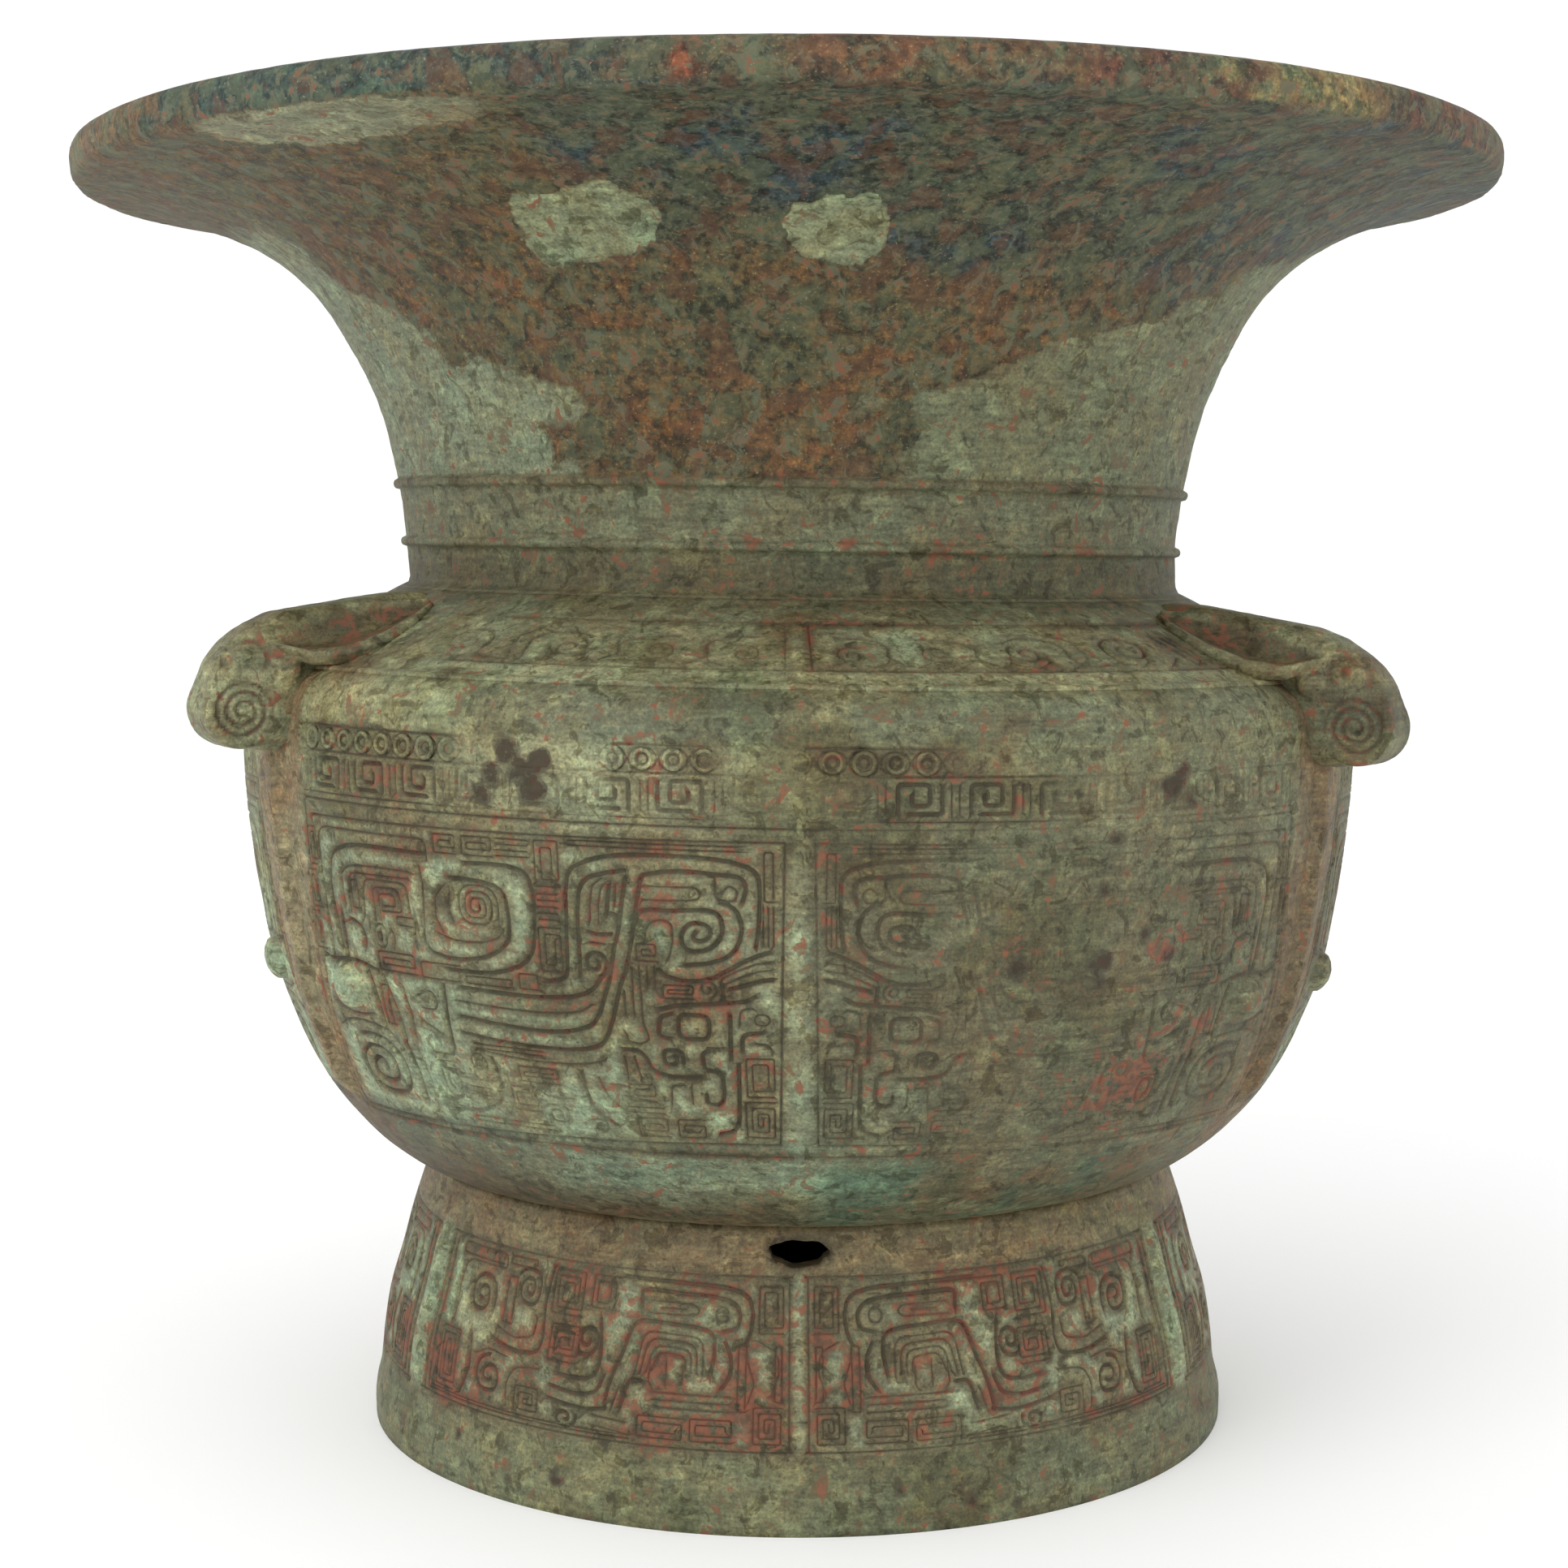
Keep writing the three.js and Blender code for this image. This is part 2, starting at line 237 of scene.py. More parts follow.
class Mottle:
    """Soft three-dimensional noise with a fixed seed."""

    SIZE = 32
    FALL = 0.55

    def __init__(self, seed: int) -> None:
        """Fills the lattice from the seed."""
        self.lattice = np.random.default_rng(seed).uniform(-1.0, 1.0, (self.SIZE,) * 3)

    def at(self, place: Array, size: float, octaves: int = 3) -> Array:
        """Reads the noise.

        Args:
            place: Points in mm, one a row.
            size: The width of the largest patches, in mm.
            octaves: How many finer layers are added.

        Returns:
            Values from about -1 to 1.
        """
        total = np.zeros(len(place))
        weight = 1.0
        spread = 0.0
        for octave in range(octaves):
            total += weight * self._layer(place / (size / 2**octave) + 7.31 * octave)
            spread += weight
            weight *= self.FALL
        return total / spread * 1.6

    def _layer(self, place: Array) -> Array:
        """Blends the eight lattice values round each point.

        Args:
            place: Points in cells of the lattice.

        Returns:
            One value a point.
        """
        cell = np.floor(place).astype(int)
        part = place - cell
        part = part * part * (3 - 2 * part)
        total = np.zeros(len(place))
        for corner in np.ndindex(2, 2, 2):
            value = self.lattice[tuple(((cell + corner) % self.SIZE).T)]
            side = np.where(corner, part, 1 - part)
            total += value * (side[:, 0] * side[:, 1] * side[:, 2])
        return total


class Silhouette:
    """The vessel's outer and inner lines, and the small lean of the casting."""

    JOINT = 64.6
    SHOULDER_LINE = 184.1
    NECK_FOOT = 201.6
    RIM = 307.0
    WALL = 3.8
    OUTER = (
        (105.4, 0), (105.4, 6), (104, 12), (103.2, 20), (101.6, 30), (98.6, 40), (95.9, 50), (93.3, 58),
        (91, 64.6), (95.4, 66.2), (100.4, 69.3), (105.5, 73.2), (110.2, 78), (115.2, 84), (120, 92),
        (123.6, 100), (127.4, 110), (129.9, 120), (131.7, 130), (133.2, 140), (134.3, 150), (135, 158),
        (135, 170), (134.2, 177), (132, 181.5), (127.8, 184.9), (98, 201),
        (94.3, 202.8), (93.7, 206), (94.2, 217), (96.5, 231.3), (100, 245.5),
        (107, 260.5), (115, 272.8), (125, 281.7), (139, 289.8), (156, 296), (166.4, 297.6), (169.1, 299.4),
        (169.7, 301.6), (169.7, 304.4), (169.0, 306.2), (167.4, 307),
    )
    CREASES = (8, 25)
    LEAN = ((0, 2.8), (184, 2.8), (215, 1.1), (250, 1.0), (275, 0.5), (307, 0.0))
    TILT = ((0, 0), (68, 0), (120, 0.0157), (230, 0.0157), (296, 0))
    RIM_SWAY = 2.3
    SWAY_RIGHT = 0.65

    def __init__(self) -> None:
        """Draws the outer line finely, so that heights and normals can be read from it."""
        knots = np.array(self.OUTER, float)
        stops = (0, *self.CREASES, len(knots) - 1)
        line = np.concatenate([through(knots[start:end + 1], 0.1) for start, end in zip(stops, stops[1:])])
        line[:, 1] = np.maximum.accumulate(line[:, 1])
        self.line = line[np.concatenate([[True], np.diff(line[:, 1]) > 1e-6])]
        step = np.diff(self.line, axis=0)
        self.length = np.concatenate([[0], np.cumsum(np.hypot(step[:, 0], step[:, 1]))])
        slope = np.gradient(self.line, axis=0)
        slope /= np.hypot(slope[:, 0], slope[:, 1])[:, None]
        self.normal = np.stack([slope[:, 1], -slope[:, 0]], axis=1)

    def radius(self, level: Array) -> Array:
        """The outer radius at each height."""
        return np.interp(level, self.line[:, 1], self.line[:, 0])

    def levels(self, low: float, high: float, step: float, extra: Sequence[float] = ()) -> Array:
        """Heights spaced evenly along the outer line.

        Args:
            low: The lowest height.
            high: The highest height.
            step: The spacing along the line, in mm.
            extra: Further heights to take in.

        Returns:
            The heights, from low to high.
        """
        run = np.interp([low, high], self.line[:, 1], self.length)
        count = max(1, int(round((run[1] - run[0]) / step)))
        level = np.interp(np.linspace(run[0], run[1], count + 1), self.length, self.line[:, 1])
        level[0], level[-1] = low, high
        extra = np.array([e for e in extra if low < e < high])
        if len(extra):
            far = np.min(np.abs(level[1:-1, None] - extra[None, :]), axis=1) > 0.3
            level = np.sort(np.concatenate([level[:1], level[1:-1][far], level[-1:], extra]))
        return level

    def place(self, angle: Array, level: Array, rise: Array) -> Array:
        """Points on the outer skin.

        Args:
            angle: Degrees from the front seam towards the right.
            level: Heights in mm.
            rise: How far each point stands off the plain skin, in mm.

        Returns:
            The points in mm.
        """
        out = np.interp(level, self.line[:, 1], self.normal[:, 0])
        up = np.interp(level, self.line[:, 1], self.normal[:, 1])
        size = np.hypot(out, up)
        return circle(np.radians(angle), self.radius(level) + rise * out / size, level + rise * up / size)

    def settle(self, place: Array) -> Array:
        """Leans the vessel as the real casting does.

        Args:
            place: Points of the upright vessel, in mm.

        Returns:
            The moved points.
        """
        height = place[:, 2]
        lean = np.interp(height, *zip(*self.LEAN))
        tilt = np.interp(height, *zip(*self.TILT))
        across = place[:, 0]
        reach = np.hypot(place[:, 0], place[:, 1]) + 1e-9
        sway = self.RIM_SWAY * (across / reach) ** 4
        sway = sway * ease(275, 305, height) * ease(110, 150, reach)
        sway = sway * np.where(across > 0, self.SWAY_RIGHT, 1.0)
        moved = place.copy()
        moved[:, 0] = across + lean
        moved[:, 2] = height - across * tilt - sway
        return moved


SHAPE = Silhouette()


def seam_ridge(angle: Array) -> Array:
    """The low ridge that the mould's joints left at the three seams."""
    return 0.32 * ease(0.42, 0.0, from_seam(angle + 360.0))


class Carving:
    """Grooves drawn flat on one half panel, in degrees from its seam and in mm of height."""

    SAMPLE = 0.3
    LONGEST = 3.2
    TURN = 9.0
    MARGIN = 0.45
    SCALE = 1.0

    def __init__(self, per_degree: float, low: float, high: float, columns: int = 60) -> None:
        """Lays out an empty half panel.

        Args:
            per_degree: The skin's width for one degree, in mm.
            low: The panel's lower edge.
            high: The panel's upper edge.
            columns: How many equal steps its upper and lower edges have.
        """
        self.per_degree = per_degree
        self.low = low
        self.high = high
        self.columns = columns
        self.lines: list[tuple[Array, Groove]] = []
        self.guides: list[Array] = [self._flat(0.42, low + 1, 0.42, high - 1)]
        self.domes: list[tuple[float, float, float, float]] = []

    def _flat(self, *numbers: float) -> Array:
        """Turns degrees and heights, which take turns, into rows of flat mm."""
        return np.array([(a * self.per_degree, v) for a, v in zip(numbers[::2], numbers[1::2])], float)

    def bend(self, kind: Groove, *numbers: float, corner: float = 1.2) -> "Carving":
        """Cuts a line of straight runs with rounded corners.

        Args:
            kind: The groove's width.
            numbers: Its corners, each an angle and a height.
            corner: How far from each corner the rounding starts, in mm.

        Returns:
            The carving itself.
        """
        flat = self._flat(*numbers)
        line = [flat[0]]
        for before, here, after in zip(flat, flat[1:], flat[2:]):
            back, on = before - here, after - here
            reach = min(corner, 0.45 * np.hypot(*back), 0.45 * np.hypot(*on))
            start = here + back / (np.hypot(*back) + 1e-9) * reach
            end = here + on / (np.hypot(*on) + 1e-9) * reach
            for t in (0.0, 0.33, 0.67, 1.0):
                line.append((1 - t) ** 2 * start + 2 * t * (1 - t) * here + t * t * end)
        line.append(flat[-1])
        self.lines.append((np.array(line), kind))
        return self

    def curve(self, kind: Groove, *numbers: float) -> "Carving":
        """Cuts a smooth line.

        Args:
            kind: The groove's width.
            numbers: The points that it passes, each an angle and a height.

        Returns:
            The carving itself.
        """
        self.lines.append((through(self._flat(*numbers), 0.17), kind))
        return self

    def coil(self, kind: Groove, centre: Point, half: Point, turns: float, start: float = 0.0,
             way: float = 1.0, square: float = 2.6, inner: float = 0.14) -> "Carving":
        """Cuts a spiral that winds inwards.

        Args:
            kind: The groove's width.
            centre: Its middle.
            half: Half its width and height in mm.
            turns: How many times it goes round.
            start: Where its outer end lies, in degrees from the side away from the seam.
            way: 1 or -1, the way it winds.
            square: 2 for round, more for square turns.
            inner: How much of its size is left at the middle.

        Returns:
            The carving itself.
        """
        t = np.linspace(0, 1, int(26 * turns) + 2)
        turn = np.radians(start) + way * 2 * math.pi * turns * t
        size = 1 - (1 - inner) * t
        c, s = np.cos(turn), np.sin(turn)
        x = np.sign(c) * np.abs(c) ** (2 / square) * size * half[0]
        y = np.sign(s) * np.abs(s) ** (2 / square) * size * half[1]
        line = np.stack([centre[0] * self.per_degree + x, centre[1] + y], axis=1)
        self.lines.append((line, kind))
        return self

    def loop(self, kind: Groove, centre: Point, half: Point, square: float = 3.0) -> "Carving":
        """Cuts a closed ring or rounded square of the given half sizes in mm."""
        return self.coil(kind, centre, half, 1.0, 45.0, 1.0, square, 0.985)

    def fret(self, near: Point, far: Point, pitch: float = 1.5, kind: Groove = Groove.FINE,
             flip: bool = False) -> "Carving":
        """Fills a box with one thunder-pattern spiral.

        Args:
            near: The box's corner next to the seam, at its foot.
            far: The opposite corner.
            pitch: The spacing of its lines, in mm.
            kind: The groove's width.
            flip: Whether the spiral starts at the top.

        Returns:
            The carving itself.
        """
        (x0, y0), (x1, y1) = self._flat(*near, *far)
        corners = []
        while x1 - x0 > pitch * 0.8 and y1 - y0 > pitch * 0.8:
            corners += [(x0, y0), (x1, y0), (x1, y1), (x0, y1), (x0, y0 + pitch)]
            x0, y0, x1, y1 = x0 + pitch, y0 + pitch, x1 - pitch, y1 - pitch
        if flip:
            corners = [(x, near[1] + far[1] - y) for x, y in corners]
        return self.bend(kind, *[n for x, y in corners for n in (x / self.per_degree, y)], corner=0.5)

    def rows(self, kind: Groove, near: Point, far: Point, count: int, upright: bool = False) -> "Carving":
        """Cuts parallel straight lines in a box.

        Args:
            kind: The grooves' width.
            near: The box's corner next to the seam, at its foot.
            far: The opposite corner.
            count: How many lines.
            upright: Whether they stand.

        Returns:
            The carving itself.
        """
        for k in range(count):
            t = k / max(1, count - 1)
            if upright:
                a = near[0] + (far[0] - near[0]) * t
                self.bend(kind, a, near[1], a, far[1])
            else:
                v = near[1] + (far[1] - near[1]) * t
                self.bend(kind, near[0], v, far[0], v)
        return self

    def dome(self, centre: Point, radius: float, rise: float) -> "Carving":
        """Raises a round boss.

        Args:
            centre: Its middle.
            radius: Its radius in mm.
            rise: Its height in mm.

        Returns:
            The carving itself.
        """
        x, y = self._flat(*centre)[0]
        self.domes.append((x, y, radius, rise))
        for share, count in ((1.02, 20), (0.86, 18), (0.6, 14), (0.3, 8)):
            turn = np.linspace(0, 2 * math.pi, count + 1)
            across, up = share * radius * np.cos(turn), share * radius * np.sin(turn)
            self.guides.append(np.stack([x + across, y + up], 1))
        return self

    def _thinned(self, line: Array) -> Array:
        """Drops points of a line where it runs straight.

        Args:
            line: Its points.

        Returns:
            Fewer points, none further apart than LONGEST.
        """
        kept = [line[0]]
        for k in range(1, len(line) - 1):
            arm, on = line[k] - kept[-1], line[k + 1] - line[k]
            reach = np.hypot(*arm)
            if reach < 0.35:
                continue
            cosine = np.dot(arm, on) / (reach * np.hypot(*on) + 1e-9)
            if cosine < math.cos(math.radians(self.TURN)) or reach > self.LONGEST:
                kept.append(line[k])
        kept.append(line[-1])
        dense = [kept[0]]
        for start, end in zip(kept, kept[1:]):
            parts = max(1, int(math.ceil(float(np.hypot(*(end - start))) / self.LONGEST)))
            dense += [start + (end - start) * k / parts for k in range(1, parts + 1)]
        return np.array(dense)

    def _inside(self, line: Array) -> Array:
        """Keeps a line clear of the panel's edges.

        Args:
            line: Its points.

        Returns:
            The points, moved where need be.
        """
        line = line.copy()
        line[:, 0] = np.clip(line[:, 0], self.MARGIN, HALF_PANEL * self.per_degree - self.MARGIN)
        line[:, 1] = np.clip(line[:, 1], self.low + self.MARGIN, self.high - self.MARGIN)
        return line

    def _boss(self, x: Array, y: Array) -> Array:
        """Works out the bosses' height.

        Args:
            x: How far from the seam, in mm.
            y: Heights in mm.

        Returns:
            The height at each place.
        """
        rise = np.zeros(len(x))
        for cx, cy, radius, height in self.domes:
            share = np.clip(1 - ((x - cx) ** 2 + (y - cy) ** 2) / radius**2, 0, 1)
            rise = np.maximum(rise, height * np.sqrt(share))
        return rise

    def mesh(self) -> tuple[Array, Array, Array, Array, list]:
        """Triangulates the half panel along its grooves.

        Returns:
            Degrees, heights, boss rise, then depth share, depth in mm and nearness of a groove, and faces.
        """
        wide = HALF_PANEL * self.per_degree
        points, edges, samples, marks = [], [], [], []

        def add(line: Array) -> None:
            """Adds a line's points, and its edges from point to point.

            Args:
                line: The points.
            """
            first = len(points)
            points.extend(line.tolist())
            edges.extend((first + k, first + k + 1) for k in range(len(line) - 1))

        across = np.linspace(0, wide, self.columns + 1)
        rows = int(round((self.high - self.low) / 2.5))
        up = np.linspace(self.low, self.high, rows + 1)
        border = [(x, self.low) for x in across] + [(wide, y) for y in up[1:]]
        border += [(x, self.high) for x in across[::-1][1:]] + [(0.0, y) for y in up[::-1][1:-1]]
        points.extend(border)
        edges.extend((k, (k + 1) % len(border)) for k in range(len(border)))
        for line, kind in self.lines:
            line = self._inside(self._thinned(line))
            width, depth = (size * self.SCALE for size in kind.value)
            run = np.diff(line, axis=0)
            size = np.hypot(run[:, 0], run[:, 1]) + 1e-9
            side = np.stack([-run[:, 1], run[:, 0]], axis=1) / size[:, None]
            corner = np.concatenate([side[:1], side[:-1] + side[1:], side[-1:]])
            corner /= np.hypot(corner[:, 0], corner[:, 1])[:, None] + 1e-9
            share = (1.0, 0.4, -0.4, -1.0) if kind is Groove.BROAD else (1.0, 0.0, -1.0)
            for part in share:
                add(self._inside(line + corner * part * width / 2))
            for k in range(len(run)):
                count = max(1, int(size[k] / self.SAMPLE))
                for t in np.arange(count + 1) / count:
                    samples.append(line[k] + run[k] * t)
                    marks.append((width / 2, depth, 0.4 if kind is Groove.BROAD else 0.0))
        for guide in self.guides:
            add(self._inside(self._thinned(guide)))
        tree = kdtree.KDTree(len(samples))
        for k, sample in enumerate(samples):
            tree.insert((sample[0], sample[1], 0.0), k)
        tree.balance()
        for j, y in enumerate(np.arange(self.low + 1.6, self.high - 1.2, 2.2)):
            for x in np.arange(1.5 + (j % 2) * 1.25, wide - 1.2, 2.5):
                if tree.find((x, y, 0.0))[2] > 1.15:
                    points.append((x, y))
        flat, _, faces, *_ = delaunay_2d_cdt([Vector(p) for p in points], edges, [], 0, 1e-4, False)
        flat = np.array([(p[0], p[1]) for p in flat])
        found = [tree.find((x, y, 0.0)) for x, y in flat]
        gap = np.array([f[2] for f in found])
        mark = np.array(marks)[[f[1] for f in found]]
        cut = np.clip((mark[:, 0] - gap) / (mark[:, 0] * (1 - mark[:, 2])), 0, 1)
        cut[gap > mark[:, 0] * 0.97] = 0.0
        rise = self._boss(flat[:, 0], flat[:, 1])
        weight = np.where(mark[:, 0] < 0.5, 1.0, np.where(mark[:, 0] < 0.8, 0.6, 0.3))
        near = weight * np.exp(-np.maximum(gap - mark[:, 0], 0) / 0.9)
        cuts = np.stack([cut, cut * mark[:, 1], near], 1)
        return flat[:, 0] / self.per_degree, flat[:, 1], rise, cuts, faces


class BellyCarving(Carving):
    """The mask's half with the crested bird, drawn from the seam to the nose ridge."""

    RIDGE_HALF = 1.55
    RIDGE_RISE = 2.2

    def __init__(self) -> None:
        """Draws every motif of the belly's half panel."""
        super().__init__(2.28, 84.0, 173.4)
        for motif in (self.frames, self.horn, self.hook_scroll, self.crest, self.head, self.small_face,
                      self.body, self.jaw, self.thunder, self.bands):
            motif()
        self.dome((49.6, 115.4), 5, 3.4)
        for share in (0.5, 1.0, 1.35):
            a = HALF_PANEL - self.RIDGE_HALF * share
            self.guides.append(self._flat(a, 86, a, 110, a, 135, a, 165, a, 172))

    def frames(self) -> None:
        """Cuts the lines that frame the register."""
        self.bend(M, 0.5, 172.7, 54, 172.7).bend(M, 0.5, 167.1, 54, 167.1)
        self.bend(F, 0.5, 158, 53.6, 158).bend(M, 0.5, 156.4, 53.5, 156.4)
        self.bend(M, 1.3, 153.6, 52.6, 152.8)
        self.curve(M, 1.3, 153.6, 1.5, 130, 1.7, 105, 1.9, 88.2)
        self.curve(M, 52.6, 152.8, 52.9, 140, 54.6, 118, 56.9, 88.8)
        self.curve(F, 53.6, 158, 53.9, 140, 55.7, 118, 58, 86.5)
        self.curve(M, 1.9, 88.4, 18, 87.8, 40, 86.6, 57, 86)
        self.curve(F, 0.6, 85.6, 30, 85.4, 57, 84.9)

    def horn(self) -> None:
        """Cuts the squared horn with its nested bands."""
        self.curve(B, 49.4, 120.8, 50, 125, 50.1, 131.5, 50.4, 137, 50.2, 141, 49.8, 143.9, 48.9, 145.8,
            47.3, 146.9, 44.7, 147.4, 41.2, 147.4, 38.3, 147.3, 36.1, 147.2)
        self.bend(M, 51.7, 120, 51.8, 150.4, 36, 150.4, 35.9, 146.2, corner=3.2)
        self.curve(M, 48.3, 134.6, 48.4, 139, 47.9, 141.6, 46.5, 142.7, 44, 143, 41, 143, 38.4, 142.9)
        self.bend(F, 47.3, 133.2, 47.1, 141.2, 38.6, 141.4, corner=2.4)
        self.bend(M, 45.3, 132.2, 44.8, 140.2, 38.9, 140.2, 38.7, 134.5, corner=1.6)
        self.bend(F, 43.6, 131.4, 43.5, 138.7, 39.9, 138.8, 39.7, 133.8, 42.5, 133.6, corner=1.2)
        self.bend(F, 42.9, 131.6, 42.8, 137.4, 40.6, 137.5, 40.5, 134.9, 42.2, 134.8, corner=1)
        self.curve(B, 48, 130.6, 46.9, 130.1, 46, 128.9, 45.7, 127, 45.8, 125.4)
        self.loop(M, (43.3, 128), (1.9, 2.6), 2.4).loop(F, (43.3, 127.9), (0.7, 1), 2)
        self.curve(F, 41.6, 130.2, 41.2, 128.2, 41.4, 126.4)
        self.curve(M, 36.9, 144.5, 36.6, 140, 36.9, 134, 37.2, 129, 36.9, 126.8)
        self.curve(F, 38, 132.4, 38.3, 129, 38.2, 126.4)

    def hook_scroll(self) -> None:
        """Cuts the broad scroll beside the horn."""
        self.curve(B, 36.9, 127, 36.2, 125.7, 34.5, 125.1, 32.8, 125.2, 30.8, 125.9, 29.3, 127, 28.1, 128.7,
            27.3, 131, 27.1, 134.5, 27.2, 138.2, 27.6, 140.6, 28.6, 142, 30.5, 142.6, 33.4, 142.7)
        self.curve(B, 31.6, 146.1, 28.5, 146.4, 26.2, 146, 24.9, 144.4, 24.4, 141, 24.4, 136, 24.6, 131,
            25.2, 127.5, 26.5, 125, 28.7, 123.4, 31, 122.7, 34.6, 122.7)
        self.curve(M, 27.7, 132.6, 28.6, 130.6, 30.5, 129.4, 33.6, 129.3, 35.4, 130.4)
        self.coil(M, (30.5, 137.1), (5.4, 5), 3.1, 200, -1, 2.7)
        self.curve(F, 34.3, 140.6, 35.2, 138, 35.3, 134, 34.7, 131)
        self.curve(F, 33.4, 140, 33.7, 136.5, 33.2, 133)

    def crest(self) -> None:
        """Cuts the tall crest with its quills."""
        self.curve(B, 23.6, 122.4, 22.2, 123.1, 21.5, 125, 21.4, 131, 21.2, 138, 21.1, 143, 20.6, 146.4,
            19.2, 148.3, 17.2, 149.6, 14.5, 150.2, 10.5, 150.2, 6.5, 149.6, 4.4, 148.2, 3.6, 146, 3.5, 142,
            3.6, 136, 3.9, 131.8)
        self.curve(B, 20.3, 123.8, 20.2, 128, 20.2, 134, 20, 140, 19.6, 143.4, 18.6, 145.4, 17, 146.3,
            15.4, 146.9)
        self.curve(M, 18.9, 136.2, 18.8, 140, 18.5, 143.4, 17.7, 145)
        self.curve(M, 18.1, 135.8, 18, 140, 17.7, 143, 17, 144.6)
        self.curve(B, 17.3, 137.4, 17.2, 140, 16.9, 144.2)
        self.bend(B, 17.3, 137.8, 16.4, 137.6, 16.3, 135.9, corner=0.8)
        self.curve(F, 16.5, 139.5, 16.3, 143.8)
        self.curve(B, 19.2, 133.6, 18.2, 133.1, 16.9, 133.4).curve(M, 19.1, 131.5, 17.6, 131.2)
        self.coil(B, (18.75, 127), (3, 3), 1.35, 255, -1, 2.2, 0.22)

    def head(self) -> None:
        """Cuts the bird's head, its great eye spiral and its feathers."""
        self.curve(B, 14.2, 144.6, 13.7, 146.2, 12.4, 146.9, 10, 147.2, 7.7, 146.8, 5.9, 146.5, 5, 145.8,
            4.7, 143.6, 5, 141.2)
        self.curve(M, 13.8, 143.9, 11, 143.9, 9.3, 143.9, 8.7, 142.7, 9.2, 141.4, 11, 141.1, 13.9, 141)
        self.curve(M, 7.4, 146, 7.4, 142.6, 6.7, 141.4, 5.7, 141.6, 5.5, 143.4, 6.1, 144.4, 6.6, 143.6)
        self.curve(B, 7, 141, 6.1, 140.4, 5.4, 138.6, 5.1, 135.6, 5.5, 132, 6.6, 129.4, 8.3, 128.1,
            10.2, 127.6)
        self.curve(B, 14.6, 136.6, 14.3, 138.3, 13.2, 139.1, 11.6, 138.9, 9.8, 139.2, 8.2, 139.3, 7.2, 138.4,
            6.8, 136, 7.1, 133.3, 8.1, 131.2, 9.6, 130.6, 10.4, 131.8, 10.5, 134, 9.9, 136.1, 8.9, 136.6,
            8, 135.6, 8, 133.8, 8.8, 132.8, 9.5, 133.5, 9.2, 134.7)
        self.curve(M, 13.7, 134.8, 13.2, 136.4, 12.2, 137, 11.4, 136, 11.3, 133.4, 11.5, 130.6, 11.9, 128.4)
        self.curve(B, 12.8, 126.6, 11.9, 124.9, 10, 124.2, 7.9, 125, 6, 127.4, 4.2, 129.7, 2.6, 130.9)
        self.curve(M, 6.9, 125.2, 5.2, 127.2, 3.7, 128.5, 2.5, 128.9)
        self.curve(M, 6.6, 124, 5.1, 125.7, 3.6, 126.9, 2.5, 127.2)
        self.curve(B, 6.3, 122.9, 4.6, 123.9, 3.3, 124.9, 2.4, 125.2)
        self.coil(M, (8.3, 122.8), (2.1, 2), 1.3, 250, -1, 2, 0.25)
        self.bend(B, 7, 124, 6.9, 120.8)

    def small_face(self) -> None:
        """Cuts the small mask below the head."""
        self.curve(B, 12.9, 118, 11.4, 118.9, 9, 119.4, 6.4, 119.9, 4.9, 120.3, 4, 121.4)
        self.bend(B, 11.8, 117.2, 12.9, 116.4, 13.1, 112.2, 12, 111.8, corner=1.6)
        self.loop(B, (9.75, 114.5), (3.35, 2.7), 3.4).dome((9.75, 114.5), 1.7, 0.7)
        self.bend(B, 6.35, 117.4, 6.4, 107.4).bend(M, 6.5, 110.2, 8.6, 110.2)
        self.coil(B, (12, 107.4), (2.5, 2.3), 1.25, 190, -1, 3, 0.3)
        self.bend(B, 8.4, 109.4, 9.1, 108.8, 9, 105.4, 7.9, 104.9, corner=1)
        self.curve(B, 16.6, 108.9, 15.2, 108.8, 14.5, 107.2, 14.1, 105.2, 13.2, 103.9, 11.6, 103.4,
            9.4, 103.6)
        self.curve(M, 15.7, 107.6, 15.5, 105, 15.2, 102.8).curve(F, 16.6, 107.6, 16.5, 103)
        self.curve(B, 7.3, 103.4, 7.2, 101, 7.4, 98.4, 8.1, 97.3, 8.9, 97.9, 9, 99.6)
        self.bend(M, 11, 101.6, 12.3, 101.4, 12.5, 97.2, corner=0.9).bend(M, 10.4, 101.4, 10.4, 97.4)
        self.bend(B, 5.3, 109.6, 5.3, 113.3, 3.4, 113.7, corner=1.8)
        self.bend(M, 5.5, 115.4, 5.4, 118.6, 4.2, 118.9, corner=1.2).loop(F, (3.4, 116.6), (1.6, 1.2), 2.2)
        self.curve(M, 3.9, 111.4, 2.9, 111, 2.5, 109.6)
        self.curve(B, 5.7, 106.8, 5.8, 99, 5.95, 93.6, 6.6, 91.4, 7.9, 90.6)
        self.curve(M, 16.2, 112.4, 16, 110.9, 14.9, 110.4, 14.1, 111.4, 14.2, 113.2, 14.5, 115)

